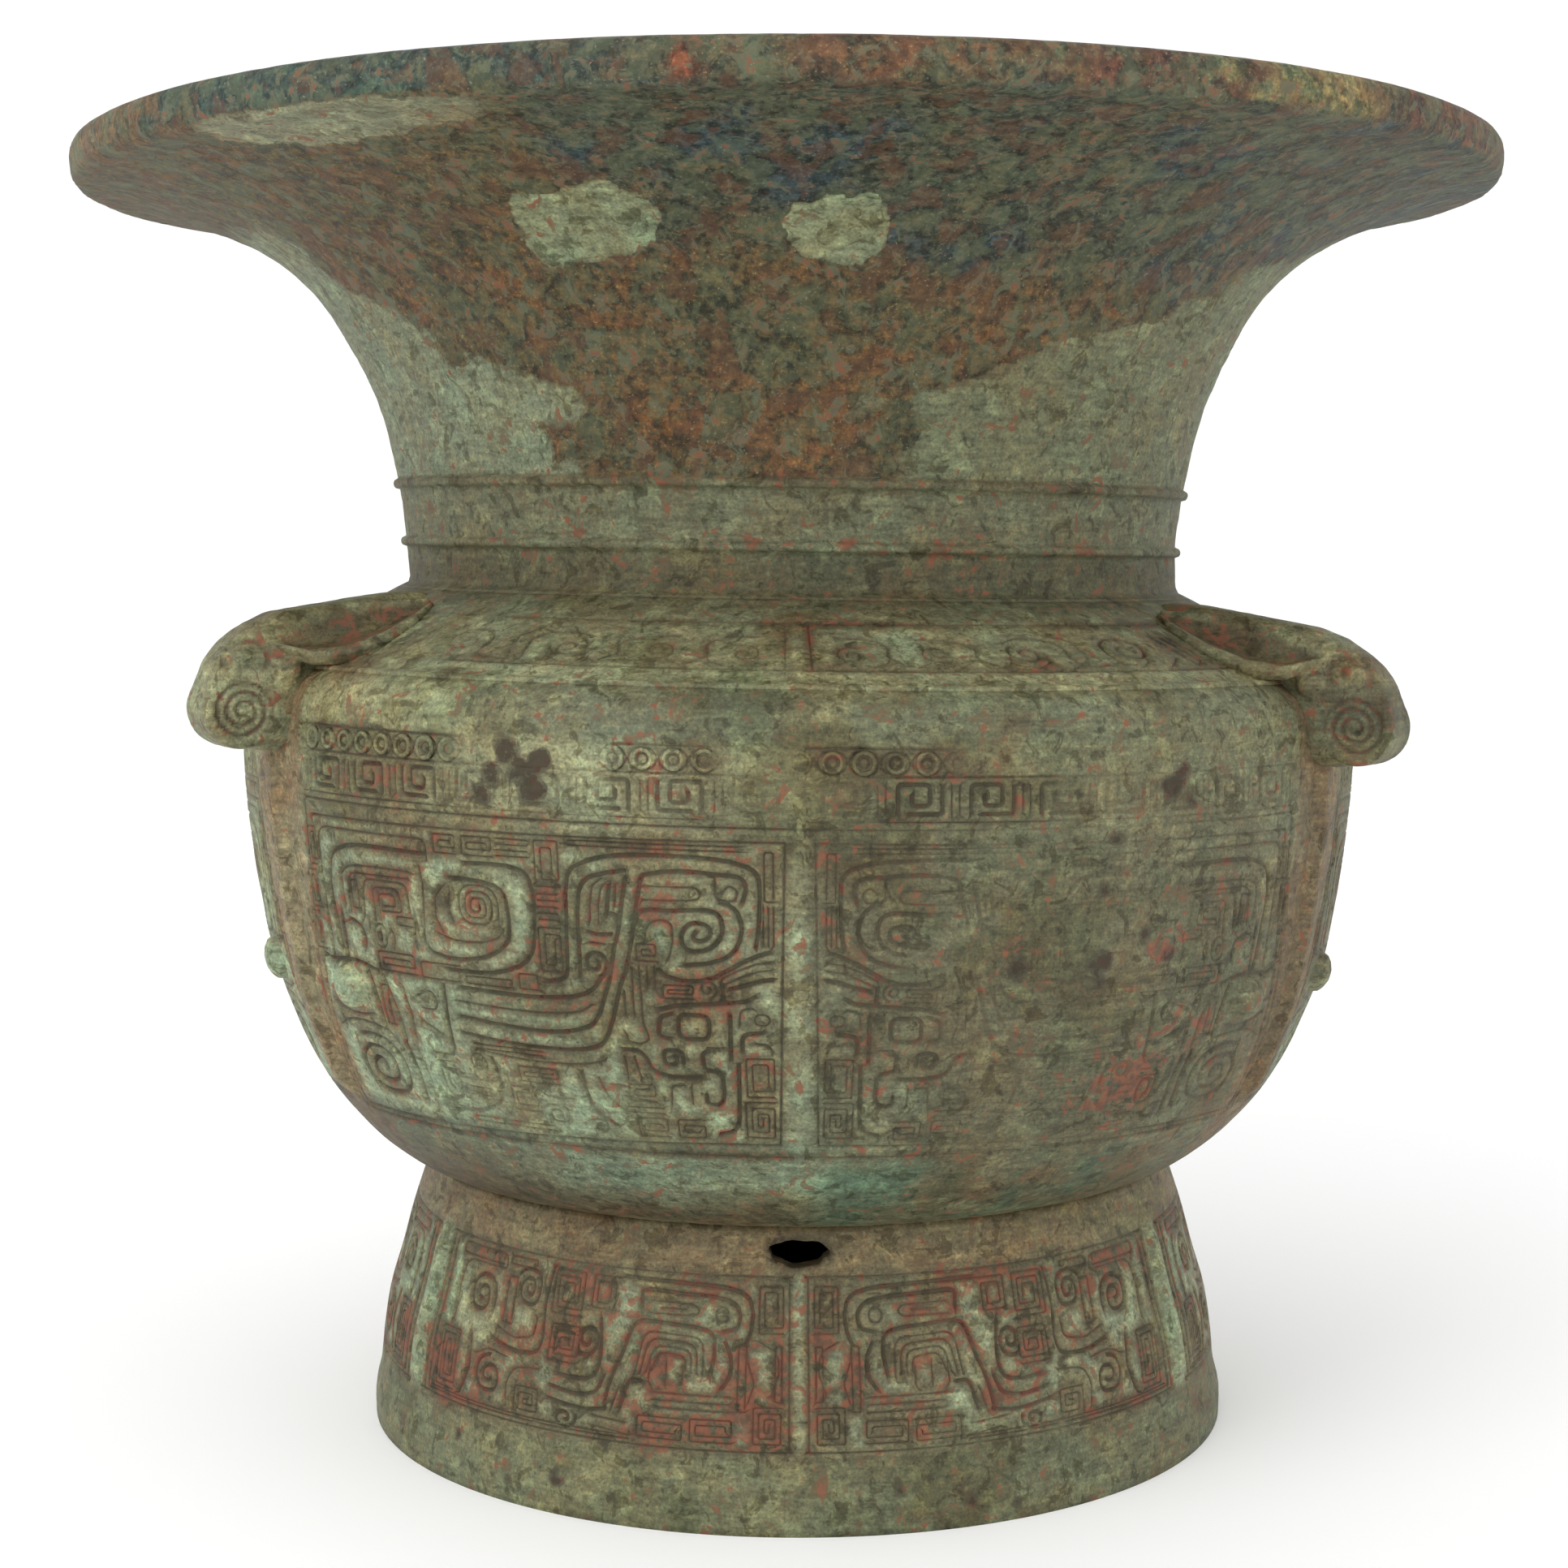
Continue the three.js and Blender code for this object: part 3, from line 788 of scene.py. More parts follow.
    def body(self) -> None:
        """Cuts the long bands of the body that rise into the crest."""
        self.curve(B, 33.6, 119, 28, 118.7, 24, 118.8, 21, 119.5, 19.2, 121.3, 18.3, 124)
        self.curve(M, 34, 116, 28, 115.5, 23.4, 115.6, 20.6, 116.5, 19.3, 118.2)
        self.curve(B, 34.2, 112.6, 29, 111.8, 24.8, 111.4, 21.8, 112, 19.8, 113.4, 18.8, 115.8, 18.1, 119.7,
            17.4, 124, 16.8, 130.6, 16.2, 135.3, 15.9, 139.8, 15.4, 145.6)
        self.curve(B, 34.3, 109, 29, 108, 22.6, 107.8, 19.8, 108.7, 18.4, 110.6, 17.4, 115.4, 16.6, 121.6,
            15.7, 126.8, 15, 134, 14.6, 139, 14.1, 144.4)
        self.curve(M, 33, 105.6, 27, 104.6, 21, 104.9, 18.6, 106.3)
        self.bend(B, 35.6, 119.6, 35.9, 105.2).curve(M, 43.9, 118.9, 42.6, 112, 42.5, 105.6)
        self.curve(B, 46.2, 119.6, 45.4, 113, 45.3, 107.8).curve(M, 41.4, 117.8, 40.7, 111.6, 40.9, 107)
        self.curve(B, 54.2, 121.4, 52.4, 120.4, 49.6, 121.2, 47, 121, 45, 119.8)
        self.curve(M, 53.9, 111, 52, 109.4, 49.3, 109, 47, 109.8)
        self.curve(M, 39.6, 115.8, 37.8, 117.2, 36.8, 115.6, 37.3, 113.4, 38.6, 113.2)
        self.curve(M, 39.4, 110.4, 38, 109.2, 37, 108)

    def jaw(self) -> None:
        """Cuts the jaw's coil and the claws along the foot of the register."""
        self.coil(B, (48.4, 97.6), (11.2, 7.4), 2.4, 60, 1, 2.3, 0.12)
        self.curve(M, 54.4, 105.4, 52, 107.2, 48, 107.4, 45, 106.2, 43.6, 103)
        self.curve(B, 42.8, 104.6, 42.3, 98, 42.6, 91.6).curve(M, 41.4, 104, 40.9, 97.6, 41.2, 91)
        self.coil(B, (37.4, 97.2), (3.4, 4.6), 1.4, 80, -1, 2.4, 0.3)
        self.coil(M, (33.3, 102.6), (2.5, 2.4), 1.3, 200, -1, 2.2, 0.3)
        self.curve(B, 31.4, 104.6, 31, 99, 31.6, 94.6, 34, 91.8, 38.6, 90.6)
        self.curve(M, 30, 100.4, 29.8, 96, 30.6, 92.6).curve(M, 27, 98.6, 25.4, 96.8, 22.8, 96.8)
        self.coil(M, (25, 92.8), (3.6, 2.6), 1.5, 20, 1, 2.6, 0.25)
        self.curve(B, 21.4, 103.2, 21.2, 98, 20.4, 94, 18.4, 91.2).curve(M, 19.6, 102, 18.8, 97.6,
            17.2, 94.8)
        self.coil(M, (20.4, 90.9), (2.2, 1.8), 1.2, 60, 1, 2.4, 0.3)
        self.curve(M, 17.6, 101, 15.6, 100.2, 14, 100.8).curve(F, 17, 98.6, 14.4, 97.6)

    def thunder(self) -> None:
        """Fills the ground between the motifs with thunder pattern."""
        self.fret((21.65, 142.6), (24, 152.2), 1.45).fret((21.9, 124.6), (24.1, 133.9), 1.35, flip=True)
        self.rows(F, (22, 135.6), (23.9, 141), 5)
        self.fret((32.4, 147.9), (34.9, 151.9), 1.25).fret((28.4, 148), (31.6, 152), 1.25)
        self.rows(F, (24.7, 148.4), (27.7, 152), 4)
        self.fret((38.9, 120.4), (44, 124.6), 1.35).fret((33.4, 120.2), (38.1, 123.7), 1.25, flip=True)
        self.fret((27.4, 120.2), (32.6, 121.9), 1.1).fret((24.6, 120.3), (26.6, 123.6), 1.2)
        for low in (122.4, 131.9, 141.6):
            shift = max(0.0, (140 - low) * 0.078)
            self.fret((52.75 + shift - 0.55, low), (54.1 + shift - 0.3, low + 8.4), 1.2)
        self.fret((2.3, 141.4), (3.1, 151.6), 0.9).rows(F, (2.3, 132.4), (3.2, 140.2), 3, True)
        self.fret((2.35, 99.6), (5, 108.2), 1.3).fret((2.4, 90.2), (5.2, 98.4), 1.3, flip=True)
        self.fret((12.9, 128.2), (14.7, 131.8), 1.1).rows(F, (13.1, 122.6), (15.2, 127), 4, True)
        self.rows(M, (14.5, 116.8), (16.1, 121.6), 3, True).fret((9.6, 120.6), (12.4, 123.4), 1)
        self.fret((13.2, 89.6), (16.2, 93.8), 1.3).fret((9.4, 89.6), (12.1, 93.8), 1.3, flip=True)
        self.rows(F, (13.4, 95), (17, 96.2), 2)
        self.fret((24, 99.8), (28.4, 103.2), 1.2).rows(F, (32.6, 95.2), (35.4, 98.8), 3)
        self.fret((43.6, 108.4), (44.6, 117), 1).rows(F, (5.4, 151.6), (20.6, 152.6), 2)
        self.rows(F, (25.2, 106), (33, 107), 2).fret((38.2, 131), (40.6, 132.9), 0.9)
        self.rows(F, (36.2, 100.4), (38.6, 103.6), 3).rows(F, (26, 88.9), (36, 90), 2)
        self.fret((14, 97.6), (16.6, 101.4), 1.2).fret((27, 93), (30, 98.4), 1.25)
        self.fret((45.8, 133.4), (46.9, 139.6), 0.9).rows(F, (49, 122), (49.4, 132), 1, True)

    def bands(self) -> None:
        """Cuts the row of small scrolls between the ring band and the register."""
        for k in range(1, 20):
            a = k * 360.0 / 132
            self.loop(M, (a, 169.9), (2.9, 2.35), 2).loop(M, (a, 169.9), (1.1, 1.1), 2)
        for k in range(8):
            a = 1.6 + k * 6.5
            self.bend(B, a + 0.3, 159.6, a + 0.3, 165.6, a + 3.1, 165.6, a + 3.1, 161.3, a + 1.5, 161.3,
                a + 1.5, 163.5, corner=0.9)
            self.bend(B, a + 1.2, 159.6, a + 4.2, 159.6, a + 4.2, 165.4, corner=0.9)
            self.bend(F, a + 5, 159.8, a + 5, 165.4).bend(F, a + 5.7, 165.4, a + 5.7, 159.8)


class ShoulderCarving(Carving):
    """The dragon scrolls on the sloping shoulder, in degrees and in mm up the slope."""

    SCALE = 0.85

    def __init__(self, slope: float) -> None:
        """Draws the half panel.

        Args:
            slope: The slope's length, in mm.
        """
        super().__init__(2.0, 0.0, slope)
        top = slope - 1.4
        self.bend(M, 0.6, 1, 52, 1).bend(M, 0.6, top, 50, top).bend(M, 1.3, 1, 1.3, top)
        self.bend(M, 52, 1.2, 50, top - 0.6)
        self.coil(B, (38, 9.4), (7.4, 6.4), 1.5, 250, -1, 2.2, 0.2)
        self.curve(B, 33.6, 3.6, 31, 3.2, 29.4, 6, 29.6, 11, 28, 14, 25, 14.8, 22.6, 13)
        self.curve(M, 32.6, 6.6, 31.4, 9, 31.5, 12.6, 29.6, 15.6)
        self.coil(B, (24.4, 8.4), (4.2, 3.8), 1.3, 120, 1, 2.2, 0.25)
        self.curve(B, 20.2, 3.6, 18.6, 6.6, 18.9, 10.6, 16.4, 13.6, 13, 14)
        self.coil(M, (14.4, 8.2), (3.8, 3.6), 1.3, 300, -1, 2.2, 0.25)
        self.curve(B, 10.6, 3.6, 9.2, 7, 9.4, 11.2, 7.2, 14.2, 4, 14.4)
        self.coil(M, (5.4, 7.4), (3.4, 3.4), 1.3, 60, 1, 2.2, 0.25)
        for k in range(11):
            a = 3.2 + k * 4.3
            self.curve(F, a, 2.6, a + 1.4, 4.4, *((a + 1.8, 7) if k % 3 else (a + 2, 5.6)))
        for a in (45.4, 46.9, 48.3):
            self.curve(M, a + 0.6, 3, a, 8, a - 1, 13.6)


class FootCarving(Carving):
    """The bird of the foot's register, drawn from the seam to the nose ridge."""

    RIDGE_HALF = 1.45
    RIDGE_RISE = 1.3
    SCALE = 0.92

    def __init__(self) -> None:
        """Draws every motif of the foot's half panel."""
        super().__init__(1.74, 16.6, 56.2)
        self.bend(M, 0.8, 54.4, 57.6, 54).bend(M, 0.8, 17.9, 57.6, 17.7)
        self.bend(M, 1.2, 54.2, 1.2, 18.2).bend(M, 57, 53.8, 57.2, 18).bend(F, 55.8, 53, 56, 19)
        self.curve(B, 23.6, 52.6, 16, 52.4, 9.2, 51.8, 6.6, 50, 5.9, 46.4, 6.2, 42.6, 6.9, 40.2)
        self.curve(B, 20.9, 46.8, 20.6, 50.3, 16, 50.2, 10.6, 49.8, 8.4, 48.6, 7.6, 46.2, 8, 43.6,
            9.6, 42.8)
        self.bend(M, 19.4, 48.2, 13.6, 48, 12.8, 46.8, 13.6, 45.6, 19.6, 45.6, corner=0.9)
        self.bend(M, 18, 46.9, 14.8, 46.9).loop(M, (9.9, 46.2), (1.5, 1.6), 2)
        self.curve(B, 24.8, 25.6, 24.2, 31, 22.9, 37, 22, 42, 20.6, 43.9, 17, 43.7, 12.4, 43.1, 10.9, 41.4,
            10.7, 37.6, 11.2, 33.4)
        for k in range(4):
            s = 1.35 * k
            self.bend(F if k % 2 else M, 21 - 0.75 * k, 32.6 + 0.4 * k, 20.2 - 0.75 * k, 41.9 - s,
                12.2 + 0.75 * k, 41.2 - s, 12.1 + 0.75 * k, 33.4 + 0.4 * k, corner=2.6)
        self.curve(B, 9.4, 40.6, 8.6, 37.6, 8.6, 34, 9.6, 31.2)
        self.curve(B, 22.6, 25.6, 21.6, 31, 20, 31.4).curve(M, 23.8, 24.8, 23, 29.4)
        self.curve(B, 26.6, 43.2, 26, 36, 26.4, 32, 28.2, 30.2, 32.2, 30.4)
        self.coil(B, (28.2, 38.6), (3.1, 3.5), 1.35, 300, -1, 2.2, 0.22)
        self.curve(B, 33, 27.6, 29, 26.8, 26.2, 28, 25.2, 31.6).curve(B, 33.2, 24.8, 28, 23.8, 24.6, 24.6)
        self.coil(B, (30.4, 21.3), (3, 2.2), 1.25, 160, 1, 2.2, 0.25)
        self.fret((2, 42.6), (5.1, 52.4), 1.2).fret((2.2, 19.6), (5.6, 27.4), 1.2, flip=True)
        self.curve(M, 4.9, 40.8, 2.9, 38.6, 2.5, 34.4, 3.4, 30).curve(F, 6.4, 36.6, 5.6, 32.4, 6.2, 28.6)
        self.fret((29.6, 42.8), (34.4, 52.2), 1.3).fret((24.8, 45.2), (28.2, 52.2), 1.25, flip=True)
        self.fret((8.2, 19.6), (13.4, 24.4), 1.25).fret((14.4, 19.6), (20.2, 24.2), 1.25, flip=True)
        self.rows(M, (8.6, 26.2), (18.2, 29.4), 3)
        self.curve(M, 22, 19.8, 25.6, 20.6).curve(M, 21.8, 22.2, 26.4, 22.8)
        self.coil(B, (38.8, 46.6), (4.2, 4.6), 1.9, 30, 1, 2.5, 0.16)
        self.curve(B, 35, 52.4, 35.6, 44, 35.2, 36.6, 36.4, 33.6, 40.2, 33.2, 44.2, 34.6)
        self.curve(M, 36.6, 40.6, 37, 37, 40.2, 35.8, 43.4, 37.2)
        self.coil(B, (47.6, 42.8), (5, 5.2), 1.7, 200, -1, 2.3, 0.18)
        self.bend(M, 44, 52.4, 43.4, 49.6, 52.2, 49.4, 53, 44.6, 52.6, 36.2, corner=2)
        self.fret((44.4, 50.4), (53.6, 52.8), 0.95).fret((34.6, 19.6), (38.4, 26), 1.3)
        self.coil(B, (43.4, 26.4), (4.6, 4.6), 1.6, 90, -1, 2.4, 0.2)
        self.curve(M, 35, 30.4, 38.6, 29.6, 40, 26, 39.8, 21.2).curve(B, 48, 33.8, 47.4, 27, 49, 20.4)
        self.fret((50.2, 20.4), (54.4, 33.8), 1.35).curve(M, 40.9, 31.4, 44, 32, 46.4, 30.4)
        self.rows(F, (14.6, 31.4), (19, 35.2), 3, True).fret((38, 51), (42.8, 52.8), 0.9)
        self.fret((29.4, 33), (33.8, 40.6), 1.3).fret((6.6, 26.4), (7.6, 40), 1)
        self.fret((2.1, 28.6), (3, 40), 1).rows(F, (21.2, 18.9), (33.6, 19.6), 2)
        self.rows(F, (35.2, 18.9), (55.4, 19.6), 2).fret((41, 38.4), (42.6, 48.4), 1.1)
        for share in (0.5, 1.0, 1.35):
            a = HALF_PANEL - self.RIDGE_HALF * share
            self.guides.append(self._flat(a, 19, a, 36, a, 53.5))


class Skin:
    """Gathers the rings and patches of one closed piece."""

    def __init__(self) -> None:
        """Starts with no points."""
        self.places: list[Array] = []
        self.marks: list[Array] = []
        self.faces: list = []
        self.count = 0

    def add(self, place: Array, angle: Array, level: Array, groove: Array, side: Side,
            near: Array | None = None) -> Array:
        """Adds points.

        Args:
            place: Where they are, in mm.
            angle: Their angles.
            level: Their heights on the plain skin.
            groove: How deep in a groove each is, 0 to 1.
            side: The skin they are on.
            near: How near a groove each is, 0 to 1.

        Returns:
            Their numbers.
        """
        count = len(place)
        near = np.zeros(count) if near is None else near
        self.places.append(place)
        self.marks.append(np.stack([angle, level, groove, np.full(count, side.value), near], axis=1))
        first = self.count
        self.count += count
        return np.arange(first, first + count)

    def outer_ring(self, level: float, columns: int, rise: Relief) -> Array:
        """Adds one level ring of the outer skin.

        Args:
            level: Its height in mm.
            columns: How many points it has.
            rise: The skin's relief at angles and heights.

        Returns:
            Its points' numbers.
        """
        angle = np.arange(columns) * 360.0 / columns
        height = np.full(columns, level)
        place = SHAPE.place(angle, height, rise(angle, height))
        return self.add(place, angle, height, np.zeros(columns), Side.OUTER)

    def outer(self, levels: Sequence[float], columns: int, rise: Relief) -> list[Array]:
        """Adds level rings of the outer skin and joins them.

        Args:
            levels: Their heights in mm.
            columns: How many points each has.
            rise: The skin's relief at angles and heights.

        Returns:
            The numbers of each ring's points.
        """
        rings = [self.outer_ring(level, columns, rise) for level in levels]
        self.chain(rings)
        return rings

    def plain(self, rows: Sequence[Point], columns: int) -> list[Array]:
        """Adds plain rings of the inside.

        Args:
            rows: Their radii and heights in mm.
            columns: How many points each has.

        Returns:
            The numbers of each ring's points.
        """
        turn = np.arange(columns) * 2 * math.pi / columns
        rings = []
        for radius, level in rows:
            height = np.full(columns, level)
            place = circle(turn, radius, height)
            rings.append(self.add(place, np.degrees(turn), height, np.zeros(columns), Side.INNER))
        return rings

    def join(self, one: Array, two: Array) -> None:
        """Joins two rings that have as many points, or one twice as many.

        Args:
            one: The first ring's numbers.
            two: The second ring's numbers.
        """
        if len(one) == len(two):
            quads = np.stack([one, np.roll(one, -1), np.roll(two, -1), two], axis=1)
            self.faces.extend(quads.tolist())
            return
        fine, coarse = (one, two) if len(one) > len(two) else (two, one)
        start, middle, end = fine[0::2], fine[1::2], np.roll(fine, -2)[0::2]
        ahead = np.roll(coarse, -1)
        for corners in ((coarse, start, middle), (coarse, middle, ahead), (ahead, middle, end)):
            self.faces.extend(np.stack(corners, axis=1).tolist())

    def chain(self, rings: Sequence[Array]) -> None:
        """Joins rings one after another."""
        for one, two in zip(rings, rings[1:]):
            self.join(one, two)

    def cap(self, ring: Array, level: float) -> None:
        """Closes a ring of the inside with one point on the axis.

        Args:
            ring: The ring's numbers.
            level: The point's height in mm.
        """
        zero = np.zeros(1)
        top = self.add(np.array([[0.0, 0.0, level]]), zero, np.array([level]), zero, Side.INNER)[0]
        self.faces.extend([[int(a), int(b), int(top)] for a, b in zip(ring, np.roll(ring, -1))])

    def panels(self, carving: Carving, rise: Relief, keep: Relief,
               level_of: Callable[[Array], Array] = lambda up: up) -> None:
        """Lays six copies of a carved half panel round the vessel, turn and turn about.

        Args:
            carving: The half panel.
            rise: The plain skin's own relief at angles and heights.
            keep: How much of the groove's depth is left after wear.
            level_of: Turns the carving's heights into heights of the vessel.
        """
        offset, up, boss, cut, faces = carving.mesh()
        level = level_of(up)
        for seam in SEAMS:
            for way in (-1.0, 1.0):
                angle = seam + way * offset
                left = keep(angle, level)
                height = rise(angle, level) + boss - cut[:, 1] * left
                place = SHAPE.place(angle, level, height)
                groove = cut[:, 0] * (0.3 + 0.7 * left)
                number = self.add(place, angle, level, groove, Side.OUTER, cut[:, 2] * left)
                self.faces.extend([[int(number[i]) for i in face] for face in faces])

    def build(self, name: str, painter: "Painter", material: Finish) -> Piece:
        """Sews the piece into one closed mesh, leans it, paints it and links it.

        Args:
            name: The piece's name.
            painter: Works out its colours.
            material: Its finish.

        Returns:
            The piece.
        """
        mesh = bpy.data.meshes.new(name)
        mesh.from_pydata((SHAPE.settle(np.concatenate(self.places)) * MM).tolist(), [], self.faces)
        write_values(mesh, dict(zip(MARKS, np.concatenate(self.marks).T)))
        sheet = bmesh.new()
        sheet.from_mesh(mesh)
        bmesh.ops.remove_doubles(sheet, verts=sheet.verts, dist=8e-6)
        bmesh.ops.dissolve_degenerate(sheet, edges=sheet.edges, dist=1e-7)
        bmesh.ops.triangulate(sheet, faces=sheet.faces)
        bmesh.ops.recalc_face_normals(sheet, faces=sheet.faces)
        open_edges = sum(1 for edge in sheet.edges if len(edge.link_faces) != 2)
        if open_edges:
            LOG.warning("%s has %d edges without two faces", name, open_edges)
        sheet.to_mesh(mesh)
        sheet.free()
        return finish_piece(name, mesh, painter, material)


def finish_piece(name: str, mesh: Mesh, painter: "Painter", material: Finish) -> Piece:
    """Paints a closed mesh, names it and tells the frame what it stands for.

    Args:
        name: The piece's name.
        mesh: Its mesh, in metres, with the marks angle, level, groove and side.
        painter: Works out its colours.
        material: Its finish.

    Returns:
        The piece.
    """
    painter.dress(mesh)
    mesh.materials.clear()
    mesh.materials.append(material)
    mesh.polygons.foreach_set("use_smooth", np.ones(len(mesh.polygons), bool))
    mesh.update()
    piece = put(name, mesh)
    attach(piece, BODY)
    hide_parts(NODE)
    mesh.calc_loop_triangles()
    LOG.info("%s: %d triangles", name, len(mesh.loop_triangles))
    return piece


def linear(red: float, green: float, blue: float) -> Array:
    """Turns a screen colour of 0 to 255 into linear light."""
    value = np.array([red, green, blue], float) / 255.0
    return np.where(value <= 0.04045, value / 12.92, ((value + 0.055) / 1.055) ** 2.4)


def blend(base: Array, shade: tuple, share: Array) -> Array:
    """Blends a colour over the base by a share for each point."""
    return base + (np.array(shade, float)[None, :] - base) * np.clip(share, 0, 1)[:, None]


@dataclass(frozen=True)
class Tints:
    """The patina's colours as the eye sees them, 0 to 255."""

    pale_green: tuple = (140, 145, 118)
    grey_green: tuple = (122, 130, 108)
    brown: tuple = (98, 80, 56)
    dark: tuple = (58, 50, 36)
    rust: tuple = (118, 82, 52)
    azure: tuple = (56, 74, 88)
    teal: tuple = (70, 98, 80)
    inside: tuple = (84, 86, 66)


class Painter:
    """Works out the patina's colour at every point of a piece from its place on the vessel, with painted
    shade on parts of it.
    """

    ZONES = (
        (0, (122, 124, 96)), (15, (118, 118, 90)), (19, (114, 106, 82)), (40, (116, 106, 82)),
        (54, (112, 100, 76)), (57, (116, 101, 75)), (64, (112, 98, 74)), (67, (98, 94, 70)),
        (80, (106, 102, 78)), (90, (114, 110, 85)), (130, (120, 117, 92)), (155, (120, 118, 92)),
        (172, (115, 114, 87)), (178, (126, 127, 99)), (184, (120, 120, 93)), (197, (116, 115, 90)),
        (200, (100, 99, 77)), (203, (82, 78, 57)), (210, (88, 86, 65)), (213, (104, 104, 82)),
        (225, (104, 104, 82)), (228, (88, 76, 55)), (307, (92, 82, 60)),
    )
    PITS = (
        (-26.6, 170.4, 3.4), (-24.2, 162.3, 3.0), (35.8, 164.4, 3.6), (28.1, 143.3, 2.0), (20.4, 127.1, 2.6),
        (28.0, 127.7, 2.0), (36.6, 127.9, 1.8), (28.6, 155.1, 1.8), (-28.0, 166.0, 2.4), (37.5, 161.0, 2.2),
        (-25.4, 166.4, 2.6), (-23.2, 168.6, 2.2), (-29.4, 160.8, 1.8), (33.2, 133.4, 1.6), (28.6, 122.4, 1.8),
        (-38.0, 5.0, 1.8), (-31.0, 8.6, 1.8), (21.0, 6.0, 2.2), (27.0, 3.4, 2.0), (12.0, 9.6, 1.4),
        (-48, 11, 1.6),
    )
    STAINS = (
        (34, 98, 12, 0.7), (40, 112, 10, 0.5), (36, 131, 7, 0.5), (-12.5, 137, 7, 0.45), (-44, 141, 5, 0.3),
        (-31, 138, 4, 0.3), (-14, 104, 5, 0.35), (-44, 112, 5, 0.2), (20, 128, 6, 0.3), (-9, 36, 8, 0.45),
        (-6, 26, 6, 0.6), (-22, 42, 8, 0.3), (24, 46, 12, 0.4), (16, 30, 10, 0.35), (-20, 22, 8, 0.3),
        (-42, 30, 8, 0.25), (2, 180, 5, 0.4), (-30, 219, 12, 0.3), (24, 210, 14, 0.3),
    )
    # Painted shade: each row gives a height span, an angle span and a multiplier. Rows below 1 darken the
    # foot's base, the down-facing lower belly, the plain band under the shoulder's edge and the shoulder's
    # top at the neck. They also darken more of the belly and neck on the right side. The one row above 1
    # lightens a block of the plain band at the front left.
    PAINTED_SHADE = (
        (-5, 17, -95, 0, 0.88), (-5, 17, 0, 95, 0.8), (66, 88, -95, 0, 0.78), (66, 88, 0, 95, 0.9),
        (88, 156, 0, 95, 0.84), (156, 173, 0, 95, 0.92), (173.5, 184, -31, 2, 0.76),
        (173.5, 184, 2, 95, 0.81), (196.5, 201.5, -95, 95, 0.9), (173.5, 184, -52, -31, 1.1),
        (201.5, 228, 0, 95, 0.95),
    )
    LIP = (
        (-90, -58, (134, 120, 104), 0.65), (-52, -10, (50, 78, 88), 0.85), (0, 14, (108, 70, 54), 0.7),
        (20, 30, (94, 50, 48), 0.85), (31, 45, (150, 142, 100), 0.85), (50, 62, (98, 54, 52), 0.75),
    )
    EDGE_LEFT = ((228, 233, 246, 252, 262, 275, 290, 299), (-30, -30, -29, -44, -51, -62, -68, -80))
    EDGE_RIGHT = ((228, 229, 244, 249, 257, 265, 275, 284), (11, 11, 13, 23, 33, 51, 62, 82))

    def __init__(self) -> None:
        """Seeds the noises that break the zones up."""
        self.tints = Tints()
        self.broad = Mottle(11)
        self.streak = Mottle(23)
        self.fleck = Mottle(37)

    def dress(self, mesh: Mesh) -> None:
        """Writes the colour and the grain of each point as attributes.

        Args:
            mesh: The mesh to paint, in metres.
        """
        count = len(mesh.vertices)
        place = read_points(mesh) / MM
        mark = {}
        for key in MARKS:
            value = np.empty(count, np.float32)
            mesh.attributes[key].data.foreach_get("value", value)
            mark[key] = value.astype(float)
        colour, bare, (grain, stain, pit) = self.outer(place, mark["angle"], mark["level"], mark["near"])
        inner = mark["side"] > 0.5
        soft = self.broad.at(place, 40, 4)
        plain = np.tile(np.array(self.tints.inside, float), (count, 1))
        hidden = blend(plain, self.tints.brown, 0.4 + soft * 0.5)
        colour[inner] = hidden[inner]
        bare[inner] = hidden[inner]
        # These colours carry the painted shade as well as the patina.
        for key, paint in (("patina", colour), ("bare", bare)):
            light = np.concatenate([((paint / 255.0 + 0.055) / 1.055) ** 2.4, np.ones((count, 1))], 1)
            layer = mesh.attributes.new(key, "FLOAT_COLOR", "POINT")
            layer.data.foreach_set("color", light.astype(np.float32).ravel())
        deep = np.maximum(mark["groove"], 2.0 * pit * ~inner)
        write_values(mesh, {"grain": grain, "stain": stain * ~inner, "groove": deep})
        for key in ("angle", "level", "side", "near"):
            mesh.attributes.remove(mesh.attributes[key])

    def outer(self, place: Array, angle: Array, level: Array,
              near: Array) -> tuple[Array, Array, Array]:
        """Colours the outer skin.

        Args:
            place: Points in mm.
            angle: Their angles.
            level: Their heights on the plain skin.
            near: How near a groove each is.

        Returns:
            Colours of 0 to 255 of the crust and of the bare patina, both with painted shade, and the shares
            of crust, stain and pits.
        """
        t = self.tints
        wrapped = (angle + 180) % 360 - 180
        folded = np.where(np.abs(wrapped) > 90, np.sign(wrapped) * (180 - np.abs(wrapped)), wrapped)
        n1 = self.broad.at(place, 42, 5)
        n2 = self.streak.at(place * np.array([1, 1, 1.7]), 16, 4)
        n3 = self.fleck.at(place, 6, 3)
        levels, tones = zip(*self.ZONES)
        tones = np.array(tones, float)
        height = level + n2 * 0.9
        colour = np.stack([np.interp(height, levels, tones[:, k]) for k in range(3)], axis=1)
        body = ease(68, 80, level) * (1 - ease(196, 201, level))
        left = ease(5, -20, folded)
        colour = blend(colour, t.pale_green, body * ease(0.05, 0.75, n1 + 0.35 * n2 + 0.25 * left) * 0.75)
        colour = blend(colour, (90, 90, 60), ease(0.05, 0.7, -n1 + 0.5 * n3) * 0.6 * (level < 202))
        colour = blend(colour, t.brown, ease(0.3, 0.8, n2 - 0.3 * n1 + 0.3 * n3) * 0.65 * (level < 202))
        foot = ease(17, 19, level) * ease(55, 53.5, level)
        register = body * ease(153, 151, level) * ease(0.2, 0.7, left + 0.6 * n1) * 0.85
        register = register + foot * 0.7
